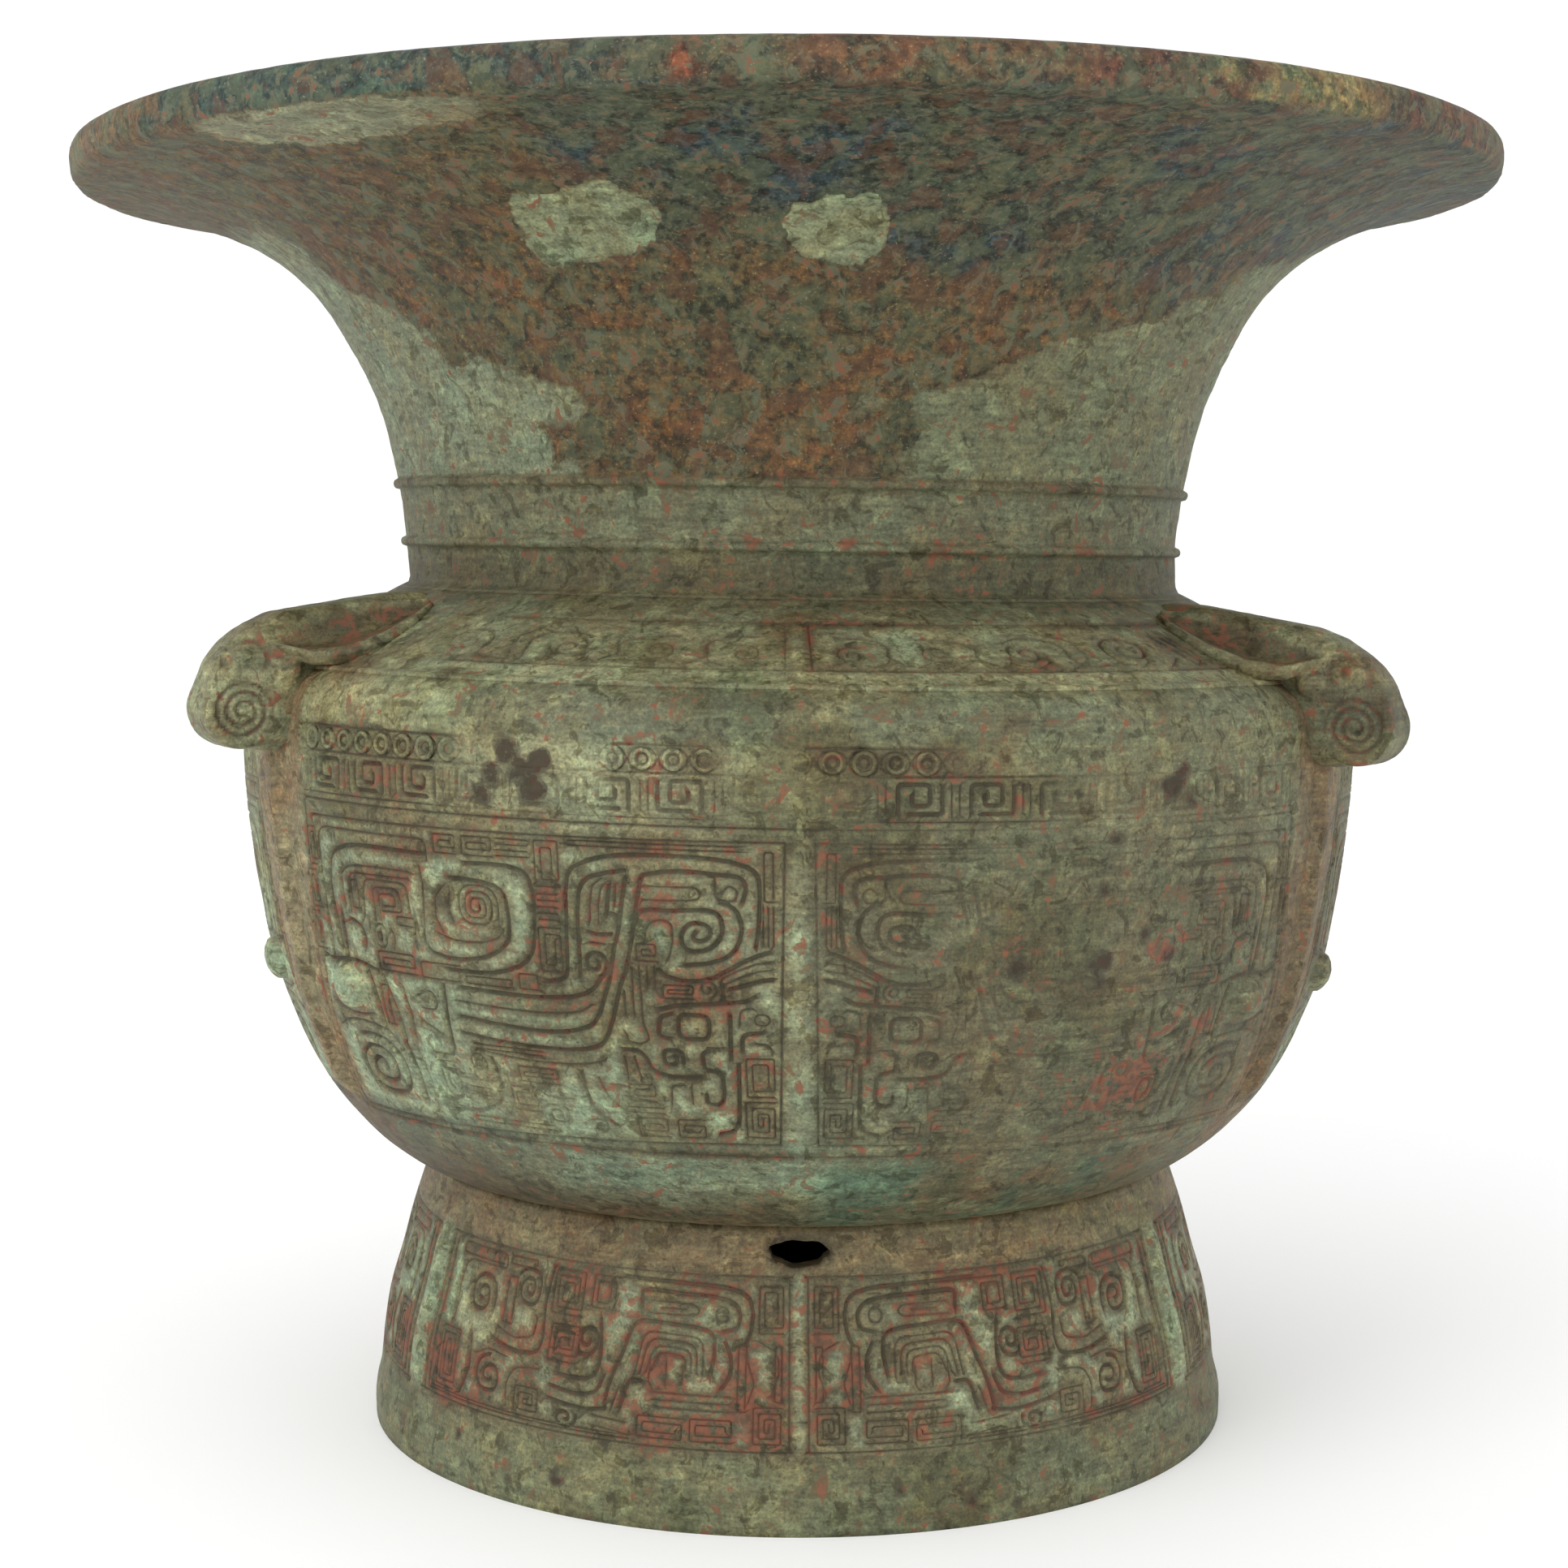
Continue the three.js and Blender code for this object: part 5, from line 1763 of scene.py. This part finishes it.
@dataclass
class Foot:
    """The flared hollow foot with its register and its three holes."""

    columns: int = 360
    inner_columns: int = 180
    wall: float = 4.0
    middle: float = 100.0
    hole_level: float = 59.2
    hole_wide: float = 13.0
    hole_tall: float = 5.6

    def rise(self, angle: Array, level: Array) -> Array:
        """The foot's nose ridges and the edge of its top band.

        Args:
            angle: Degrees from the front seam.
            level: Heights in mm.

        Returns:
            How far the skin stands out, in mm.
        """
        half = FootCarving.RIDGE_HALF
        ridge = ease(half, half * 0.45, from_seam(angle + 180.0))
        ends = ease(18.2, 20.2, level) * (1 - ease(52.4, 54.6, level))
        uneven = Mottle(71).at(circle(np.radians(angle), self.middle, level), 18, 3) * 0.22
        uneven = uneven * (1 - ease(14, 16.4, level)) * ease(0, 3, level)
        return FootCarving.RIDGE_RISE * ridge * ends + np.clip(uneven, -0.4, 0.25)

    def wear(self, angle: Array, level: Array) -> Array:
        """How much of each groove is left.

        Args:
            angle: Degrees from the front seam.
            level: Heights in mm.

        Returns:
            Shares from 0.2 to 1.
        """
        worn = Mottle(55).at(circle(np.radians(angle), self.middle, level), 24, 3)
        return np.clip(0.95 - 0.35 * ease(0.1, 0.9, worn), 0.2, 1)

    def build(self, painter: Painter, material: Finish) -> Piece:
        """Makes the foot and cuts its holes.

        Args:
            painter: Works out its colours.
            material: Its finish.

        Returns:
            The piece.
        """
        carving, skin = FootCarving(), Skin()
        low = skin.outer(SHAPE.levels(0.0, carving.low, 1.8), self.columns, self.rise)
        skin.panels(carving, self.rise, self.wear)
        high = skin.outer(SHAPE.levels(carving.high, SHAPE.JOINT, 1.4), self.columns, self.rise)
        inner = skin.plain([(87.2, 64.4)], self.columns)
        wall = [(SHAPE.radius(v) - self.wall - 0.4, v) for v in (58.0, 50.0, 40.0, 30.0, 20.0, 10.0, 3.0)]
        inner += skin.plain([(86.8, 63.2), *wall, (102.0, 0.6)], self.inner_columns)
        inner += skin.plain([(102.6, 0.0)], self.columns)
        skin.chain([high[-1], *inner, low[0]])
        piece = skin.build("zun_foot", painter, material)
        self._cut_holes(piece)
        return piece

    def _cut_holes(self, piece: Piece) -> None:
        """Cuts the three spacer holes through the top band.

        Args:
            piece: The foot.
        """
        mesh = bpy.data.meshes.new("hole_cutters")
        sheet = bmesh.new()
        for seam in SEAMS:
            turn = math.radians(seam)
            out = Vector((math.sin(turn), -math.cos(turn), 0))
            side = Vector((math.cos(turn), math.sin(turn), 0))
            rings = []
            for reach in (82.0, 102.0):
                ring = []
                for k in range(28):
                    t = 2 * math.pi * k / 28
                    ragged = 1 + 0.06 * math.sin(3 * t + seam) + 0.05 * math.sin(7 * t + 1.3)
                    p = out * reach + side * (math.cos(t) * self.hole_wide / 2 * ragged)
                    p.z = self.hole_level + math.sin(t) * self.hole_tall / 2 * ragged
                    p.x += float(np.interp(p.z, *zip(*SHAPE.LEAN)))
                    ring.append(sheet.verts.new(p * MM))
                rings.append(ring)
            for k in range(28):
                sheet.faces.new((rings[0][k], rings[0][(k + 1) % 28], rings[1][(k + 1) % 28], rings[1][k]))
            sheet.faces.new(rings[0])
            sheet.faces.new(rings[1])
        bmesh.ops.recalc_face_normals(sheet, faces=sheet.faces)
        sheet.to_mesh(mesh)
        sheet.free()
        mesh.materials.append(piece.data.materials[0])
        cutter = put("hole_cutters", mesh)
        cut = piece.modifiers.new("holes", "BOOLEAN")
        cut.operation = "DIFFERENCE"
        cut.solver = "EXACT"
        cut.object = cutter
        plain = baked(piece)
        piece.modifiers.clear()
        piece.data = plain
        bpy.data.objects.remove(cutter)
        self._darken_edges(plain)

    def _darken_edges(self, mesh: Mesh) -> None:
        """Darkens the holes' walls and the skin round their edges.

        Args:
            mesh: The cut foot, in metres.
        """
        place = read_points(mesh) / MM
        place[:, 0] -= np.interp(place[:, 2], *zip(*SHAPE.LEAN))
        across = np.radians(from_seam(np.degrees(np.arctan2(place[:, 0], -place[:, 1])))) * 95.0
        gap = np.hypot(across / self.hole_wide, (place[:, 2] - self.hole_level) / self.hole_tall) * 2
        share = ease(1.5, 1.0, gap)[:, None]
        for key in ("patina", "bare"):
            colour = np.empty(len(place) * 4, np.float32)
            layer = mesh.attributes[key]
            layer.data.foreach_get("color", colour)
            colour = colour.reshape(-1, 4)
            blank = colour[:, :3].min(axis=1) > 0.8
            colour[blank, :3] = linear(104, 90, 66)
            colour[:, :3] += (linear(*Tints().dark) - colour[:, :3]) * share * 0.8
            layer.data.foreach_set("color", colour.ravel())


@dataclass
class AnimalHead:
    """One ram-like head over a mask: crest, ears, eyes and rolled snout."""

    voxel: float = 0.62
    roll_centre: tuple = (145.1, 174.9)
    roll_radius: float = 8.5
    roll_half: float = 7.4
    EAR_INNER = (
        (139, 5.4, 192.6), (131, 4.6, 196.0), (122, 4.2, 198.0), (112, 6.0, 199.6), (101.8, 11.2, 200.4),
    )
    EAR_OUTER = (
        (139, 7.8, 190.2), (131.5, 15.0, 186.8), (124, 19.6, 187.6), (116, 21.4, 190.9), (108, 19.6, 195.3),
        (101.8, 14.4, 199.2),
    )
    CROWN = (
        (96, 200.4), (100, 201.3), (105, 201.2), (112, 200.4), (121, 198.9), (128.8, 197.8), (135, 196.7),
        (140.6, 194.5), (146, 191), (149.5, 187.6), (151.6, 184), (152.4, 180),
    )
    UNDER = (
        (96, 196), (110, 188), (122, 178), (128, 170), (133, 166), (140, 165.4), (146, 167.6),
        (150.5, 171.6), (152.4, 177),
    )
    HALVES = ((96, 108, 125, 138, 148, 152.4), (4.2, 6.4, 8.0, 8.6, 7.6, 6.2))
    ROLL_EDGE = ((0.55, 0.93), (0.85, 0.97), (0.97, 0.93), (1.0, 0.8))

    def _tube(self, rows: int, around: int) -> list[tuple]:
        """The side faces of a tube.

        Args:
            rows: How many rings of points it has.
            around: How many points each ring has.

        Returns:
            The faces.
        """
        return [(j * around + k, j * around + (k + 1) % around, (j + 1) * around + (k + 1) % around,
                 (j + 1) * around + k) for j in range(rows - 1) for k in range(around)]

    def _ends(self, rows: int, around: int) -> list[tuple]:
        """The two end faces of a tube with as many rings of as many points."""
        last = (rows - 1) * around
        return [tuple(range(around)), tuple(range(last, last + around))]

    def _body(self) -> Solid:
        """The head's solid from crown to chin, rounded across.

        Returns:
            Its points and faces.
        """
        points, rows, around = [], 30, 24
        for rho in np.linspace(96, 152.2, rows):
            top, low = (np.interp(rho, *zip(*edge)) for edge in (self.CROWN, self.UNDER))
            half = np.interp(rho, *self.HALVES)
            middle, tall = (top + low) / 2, (top - low) / 2
            for k in range(around):
                t = 2 * math.pi * k / around
                c, s = math.cos(t), math.sin(t)
                across = half * math.copysign(abs(c) ** 0.62, c)
                points.append((rho, across, middle + tall * math.copysign(abs(s) ** 0.72, s)))
        return points, self._tube(rows, around) + self._ends(rows, around)

    def _ellipsoid(self, centre: Sequence[float], half: Sequence[float], turn: float = 0.0) -> Solid:
        """A closed egg, turned about the upright axis.

        Args:
            centre: Its middle.
            half: Half its size along each axis.
            turn: How far it is turned, in radians.

        Returns:
            Its points and faces.
        """
        points, rings, around = [], 12, 20
        c, s = math.cos(turn), math.sin(turn)
        for j in range(1, rings):
            u = math.pi * j / rings
            for k in range(around):
                t = 2 * math.pi * k / around
                x, y, z = math.sin(u) * math.cos(t), math.sin(u) * math.sin(t), math.cos(u)
                x, y, z = x * half[0], y * half[1], z * half[2]
                points.append((centre[0] + x * c - y * s, centre[1] + x * s + y * c, centre[2] + z))
        top, low = len(points), len(points) + 1
        points += [(centre[0], centre[1], centre[2] + half[2]), (centre[0], centre[1], centre[2] - half[2])]
        faces = self._tube(rings - 1, around)
        last = (rings - 2) * around
        for k in range(around):
            n = (k + 1) % around
            faces += [(top, n, k), (low, last + k, last + n)]
        return points, faces

    def _roll(self) -> Solid:
        """The rolled snout, a short drum with rounded rims.

        Returns:
            Its points and faces.
        """
        points, around = [], 40
        edge = self.ROLL_EDGE
        rows = [(-wide, reach) for reach, wide in edge] + [(wide, reach) for reach, wide in edge[::-1]]
        for across, reach in rows:
            for k in range(around):
                t = 2 * math.pi * k / around
                size = self.roll_radius * reach
                points.append((self.roll_centre[0] + size * math.cos(t), across * self.roll_half,
                               self.roll_centre[1] + size * math.sin(t)))
        return points, self._tube(len(rows), around) + self._ends(len(rows), around)

    def _ear(self, way: float) -> Solid:
        """One leaf-shaped ear with a hollow bowl, swept back along the shoulder.

        Args:
            way: 1 or -1, the side it is on.

        Returns:
            Its points and faces.
        """
        points, faces = [], []
        edges = np.array(self.EAR_INNER), np.array(self.EAR_OUTER)
        rows, wide = 24, 13
        for sheet in (1, -1):
            for j in range(rows + 1):
                t = j / rows
                near, far = (np.array([np.interp(t, np.linspace(0, 1, len(edge)), edge[:, c])
                                       for c in range(3)]) for edge in edges)
                across = far - near
                up = np.cross(np.array([-1.0, 0.0, 0.22]), across)
                up = up / np.linalg.norm(up) * (1.0 if up[2] > 0 else -1.0)
                swell = math.sin(math.pi * min(1.0, 0.06 + 0.9 * t)) ** 0.6
                for k in range(wide + 1):
                    s = k / wide
                    lip = 1.1 * math.exp(-((s - 0.9) / 0.11) ** 2)
                    bowl = -3.0 * math.sin(math.pi * min(1.0, s * 1.1)) ** 1.5 if s < 0.9 else 0.0
                    back = -4.6 * math.sin(math.pi * (0.08 + 0.8 * s)) - 0.9
                    rise = (bowl + lip) * swell if sheet == 1 else back * swell - 0.3
                    p = near + across * s + up * rise
                    points.append((float(p[0]), float(p[1]) * way, float(p[2])))
        size = (rows + 1) * (wide + 1)
        for sheet in (0, 1):
            for j in range(rows):
                for k in range(wide):
                    a = sheet * size + j * (wide + 1) + k
                    faces.append((a, a + 1, a + wide + 2, a + wide + 1))
        rim = [j * (wide + 1) for j in range(rows + 1)] + [rows * (wide + 1) + k for k in range(1, wide + 1)]
        rim += [j * (wide + 1) + wide for j in range(rows - 1, -1, -1)] + list(range(wide - 1, 0, -1))
        for a, b in zip(rim, rim[1:] + rim[:1]):
            faces.append((a, b, b + size, a + size))
        return points, faces

    def _solid(self) -> Mesh:
        """Joins the head's parts into one cast-like mesh.

        Returns:
            The mesh, at the front of the frame, in mm.
        """
        sheet = bmesh.new()
        parts = [self._body(), self._roll()]
        for way in (-1.0, 1.0):
            parts.append(self._ear(way))
            parts.append(self._ellipsoid((144.2, way * 6.0, 186.6), (3.6, 2.7, 2.5), way * 0.3))
            parts.append(self._ellipsoid((135.2, way * 8.2, 184.2), (3.4, 2.4, 3.0)))
        for points, faces in parts:
            made = [sheet.verts.new(p) for p in points]
            for face in faces:
                sheet.faces.new([made[i] for i in face])
        bmesh.ops.remove_doubles(sheet, verts=sheet.verts, dist=1e-4)
        bmesh.ops.recalc_face_normals(sheet, faces=sheet.faces)
        mesh = bpy.data.meshes.new("head_parts")
        sheet.to_mesh(mesh)
        sheet.free()
        holder = put("head_parts", mesh)
        wrap = holder.modifiers.new("cast", "REMESH")
        wrap.mode = "VOXEL"
        wrap.voxel_size = self.voxel
        soften = holder.modifiers.new("soften", "SMOOTH")
        soften.factor = 0.5
        soften.iterations = 3
        cast = baked(holder)
        bpy.data.objects.remove(holder)
        return cast

    def _bowl(self, place: Array) -> Array:
        """How deep each point lies in an ear's hollow.

        Args:
            place: Points in mm.

        Returns:
            Shares from 0 to 1.
        """
        (near_t, near_z), (far_t, far_z) = [
            [np.interp(place[:, 0], [p[0] for p in edge][::-1], [p[k] for p in edge][::-1]) for k in (1, 2)]
            for edge in (self.EAR_INNER, self.EAR_OUTER)]
        share = (np.abs(place[:, 1]) - near_t) / (far_t - near_t)
        depth = near_z + (far_z - near_z) * share - place[:, 2]
        inside = ease(0.06, 0.2, share) * ease(0.92, 0.78, share) * (place[:, 0] < 138.5)
        return inside * ease(0.2, 1.6, depth)

    def _groove(self, place: Array) -> Array:
        """How deep each point lies in the snout's coil, round the eye or in the brow's lines.

        Args:
            place: Points in mm.

        Returns:
            Shares from 0 to 1.
        """
        x, z, off = place[:, 0] - self.roll_centre[0], place[:, 2] - self.roll_centre[1], np.abs(place[:, 1])
        radius = np.hypot(x, z)
        pitch = 2.1
        phase = (radius / pitch - np.arctan2(z, x) / (2 * math.pi) + 0.25) % 1.0
        gap = np.minimum(phase, 1 - phase) * pitch
        coil = ease(0.75, 0.15, gap) * ease(7.0, 6.3, radius) * ease(5.6, 6.2, off)
        coil *= ease(0.5, 1.1, radius)
        brow = np.abs(place[:, 2] - (194.2 - 0.02 * (place[:, 0] - 140) ** 2))
        line = ease(0.7, 0.2, brow) * ease(5.2, 6.2, off) * (np.abs(place[:, 0] - 141) < 7)
        ring = np.hypot((place[:, 0] - 144.2) / 1.25, place[:, 2] - 186.6)
        eye = ease(0.9, 0.2, np.abs(ring - 3.9)) * ease(5.0, 6.0, off) * (place[:, 2] > 184)
        return np.clip(np.maximum(np.maximum(coil, line * 0.5), eye * 0.7), 0, 1)

    def build(self, painter: Painter, material: Finish) -> list[Piece]:
        """Makes the three heads.

        Args:
            painter: Works out their colours.
            material: Their finish.

        Returns:
            The three pieces.
        """
        cast = self._solid()
        count = len(cast.vertices)
        place, normal = read_points(cast), read_points(cast, "normal")
        groove = self._groove(place)
        bowl = self._bowl(place) * ease(0.0, 0.3, normal[:, 2])
        place = place - normal * groove[:, None] * 0.65
        place = place + normal * (Mottle(81).at(place, 4.0, 2) * 0.12)[:, None]
        pieces = []
        for number, angle in enumerate(HEAD_ANGLES):
            turn = math.radians(angle)
            out = np.array([math.sin(turn), -math.cos(turn), 0.0])
            side = np.array([math.cos(turn), math.sin(turn), 0.0])
            world = place[:, :1] * out + place[:, 1:2] * side + place[:, 2:] * np.array([0, 0, 1.0])
            mesh = cast.copy()
            mesh.name = f"zun_head_{number + 1}"
            mesh.vertices.foreach_set("co", (SHAPE.settle(world) * MM).astype(np.float32).ravel())
            values = {
                "angle": np.full(count, math.copysign(40.0, world[0, 0])),
                "level": np.clip(place[:, 2], 90, 196),
                "groove": np.maximum(groove * 0.75, bowl * 0.35),
                "side": np.zeros(count),
                "near": np.clip(0.4 + groove * 0.5 + bowl * 0.6, 0, 1),
            }
            write_values(mesh, values)
            pieces.append(finish_piece(mesh.name, mesh, painter, material))
        return pieces


@dataclass
class RingRow:
    """A band of small rings laid round the vessel by Geometry Nodes."""

    name: str
    count: int
    level: float
    ring: float
    wire: float
    sink: float

    def _tree(self, material: Finish) -> bpy.types.NodeTree:
        """Builds the tree that lays the rings.

        Args:
            material: The rings' finish.

        Returns:
            The node tree.
        """
        tree = bpy.data.node_groups.new(self.name, "GeometryNodeTree")
        face = tree.interface
        face.new_socket("Geometry", in_out="INPUT", socket_type="NodeSocketGeometry")
        for label, kind in (("Count", "Int"), ("Band radius", "Float"), ("Ring radius", "Float"),
                            ("Wire radius", "Float")):
            face.new_socket(label, in_out="INPUT", socket_type="NodeSocket" + kind)
        face.new_socket("Geometry", in_out="OUTPUT", socket_type="NodeSocketGeometry")
        nodes = {name: tree.nodes.new(kind) for name, kind in (
            ("given", "NodeGroupInput"), ("result", "NodeGroupOutput"), ("band", "GeometryNodeMeshCircle"),
            ("ring", "GeometryNodeCurvePrimitiveCircle"), ("wire", "GeometryNodeCurvePrimitiveCircle"),
            ("tube", "GeometryNodeCurveToMesh"), ("place", "GeometryNodeInputPosition"),
            ("turn", "FunctionNodeAlignEulerToVector"), ("uneven", "FunctionNodeRandomValue"),
            ("spread", "GeometryNodeInstanceOnPoints"), ("real", "GeometryNodeRealizeInstances"),
            ("coat", "GeometryNodeSetMaterial"))}
        nodes["turn"].axis = "Z"
        nodes["uneven"].data_type = "FLOAT"
        for name, socket, value in (
                ("ring", "Resolution", 14), ("wire", "Resolution", 6), ("uneven", 2, 0.9),
                ("uneven", 3, 1.06), ("uneven", "Seed", 5), ("coat", "Material", material)):
            nodes[name].inputs[socket].default_value = value
        for start, output, end, into in (
                ("given", "Count", "band", "Vertices"), ("given", "Band radius", "band", "Radius"),
                ("given", "Ring radius", "ring", "Radius"), ("given", "Wire radius", "wire", "Radius"),
                ("ring", "Curve", "tube", "Curve"), ("wire", "Curve", "tube", "Profile Curve"),
                ("place", "Position", "turn", "Vector"), ("band", "Mesh", "spread", "Points"),
                ("tube", "Mesh", "spread", "Instance"), ("turn", "Rotation", "spread", "Rotation"),
                ("uneven", 1, "spread", "Scale"), ("spread", "Instances", "real", "Geometry"),
                ("real", "Geometry", "coat", "Geometry"), ("coat", "Geometry", "result", "Geometry")):
            tree.links.new(nodes[start].outputs[output], nodes[end].inputs[into])
        return tree

    def build(self, painter: Painter, material: Finish, wear: Relief) -> Piece:
        """Makes the row of rings.

        Args:
            painter: Works out its colours.
            material: Its finish.
            wear: How much of the casting's relief is left at an angle and a height.

        Returns:
            The piece.
        """
        holder = put(self.name + "_holder", bpy.data.meshes.new(self.name + "_holder"))
        lay = holder.modifiers.new("rings", "NODES")
        tree = self._tree(material)
        lay.node_group = tree
        band = SHAPE.radius(self.level)
        radius = float(band) - self.sink
        given = {"Count": self.count, "Band radius": radius,
                 "Ring radius": self.ring, "Wire radius": self.wire}
        for item in tree.interface.items_tree:
            if item.in_out == "INPUT" and item.name in given:
                lay[item.identifier] = given[item.name]
        mesh = baked(holder)
        holder.modifiers.clear()
        bpy.data.objects.remove(holder)
        count = len(mesh.vertices)
        place = read_points(mesh)
        slope = SHAPE.radius(place[:, 2] + self.level) - band
        reach = np.hypot(place[:, 0], place[:, 1])
        angle = np.degrees(np.arctan2(place[:, 0], -place[:, 1]))
        left = ease(0.2, 0.75, wear(angle, np.full(count, self.level)))
        place[:, :2] *= ((reach + slope - (1 - left) * (self.wire + 0.35)) / reach)[:, None]
        place[:, 2] += self.level
        mesh.vertices.foreach_set("co", (SHAPE.settle(place) * MM).astype(np.float32).ravel())
        wire_top = np.hypot(place[:, 0], place[:, 1]) - radius - slope
        values = {
            "angle": np.degrees(np.arctan2(place[:, 0], -place[:, 1])),
            "level": np.full(count, self.level),
            "groove": np.where(wire_top < self.wire * 0.3, 0.6, 0.0),
            "side": np.zeros(count),
            "near": np.full(count, 0.2),
        }
        write_values(mesh, values)
        sheet = bmesh.new()
        sheet.from_mesh(mesh)
        bmesh.ops.remove_doubles(sheet, verts=sheet.verts, dist=1e-6)
        bmesh.ops.recalc_face_normals(sheet, faces=sheet.faces)
        sheet.to_mesh(mesh)
        sheet.free()
        return finish_piece(self.name, mesh, painter, material)


def main() -> None:
    """Builds the scene in order and reports each piece."""
    logging.basicConfig(level=logging.INFO, format="%(name)s: %(message)s")
    PhotoCamera().build()
    Studio().build()
    painter = Painter()
    carved = PatinaFinish("carved_patina").build()
    crusted = PatinaFinish("crusted_patina", rough=0.66, bump=0.8, speckle=0.95).build()
    Foot().build(painter, carved)
    Belly().build(painter, carved)
    Shoulder().build(painter, carved)
    Mouth().build(painter, crusted)
    AnimalHead().build(painter, carved)
    RingRow("zun_belly_rings", 132, 169.9, 2.05, 0.5, 0.1).build(painter, carved, Belly().wear)
    RingRow("zun_shoulder_rings", 168, 185.8, 1.0, 0.32, 0.1).build(painter, carved, Shoulder().wear)


if __name__ == "__main__":
    main()
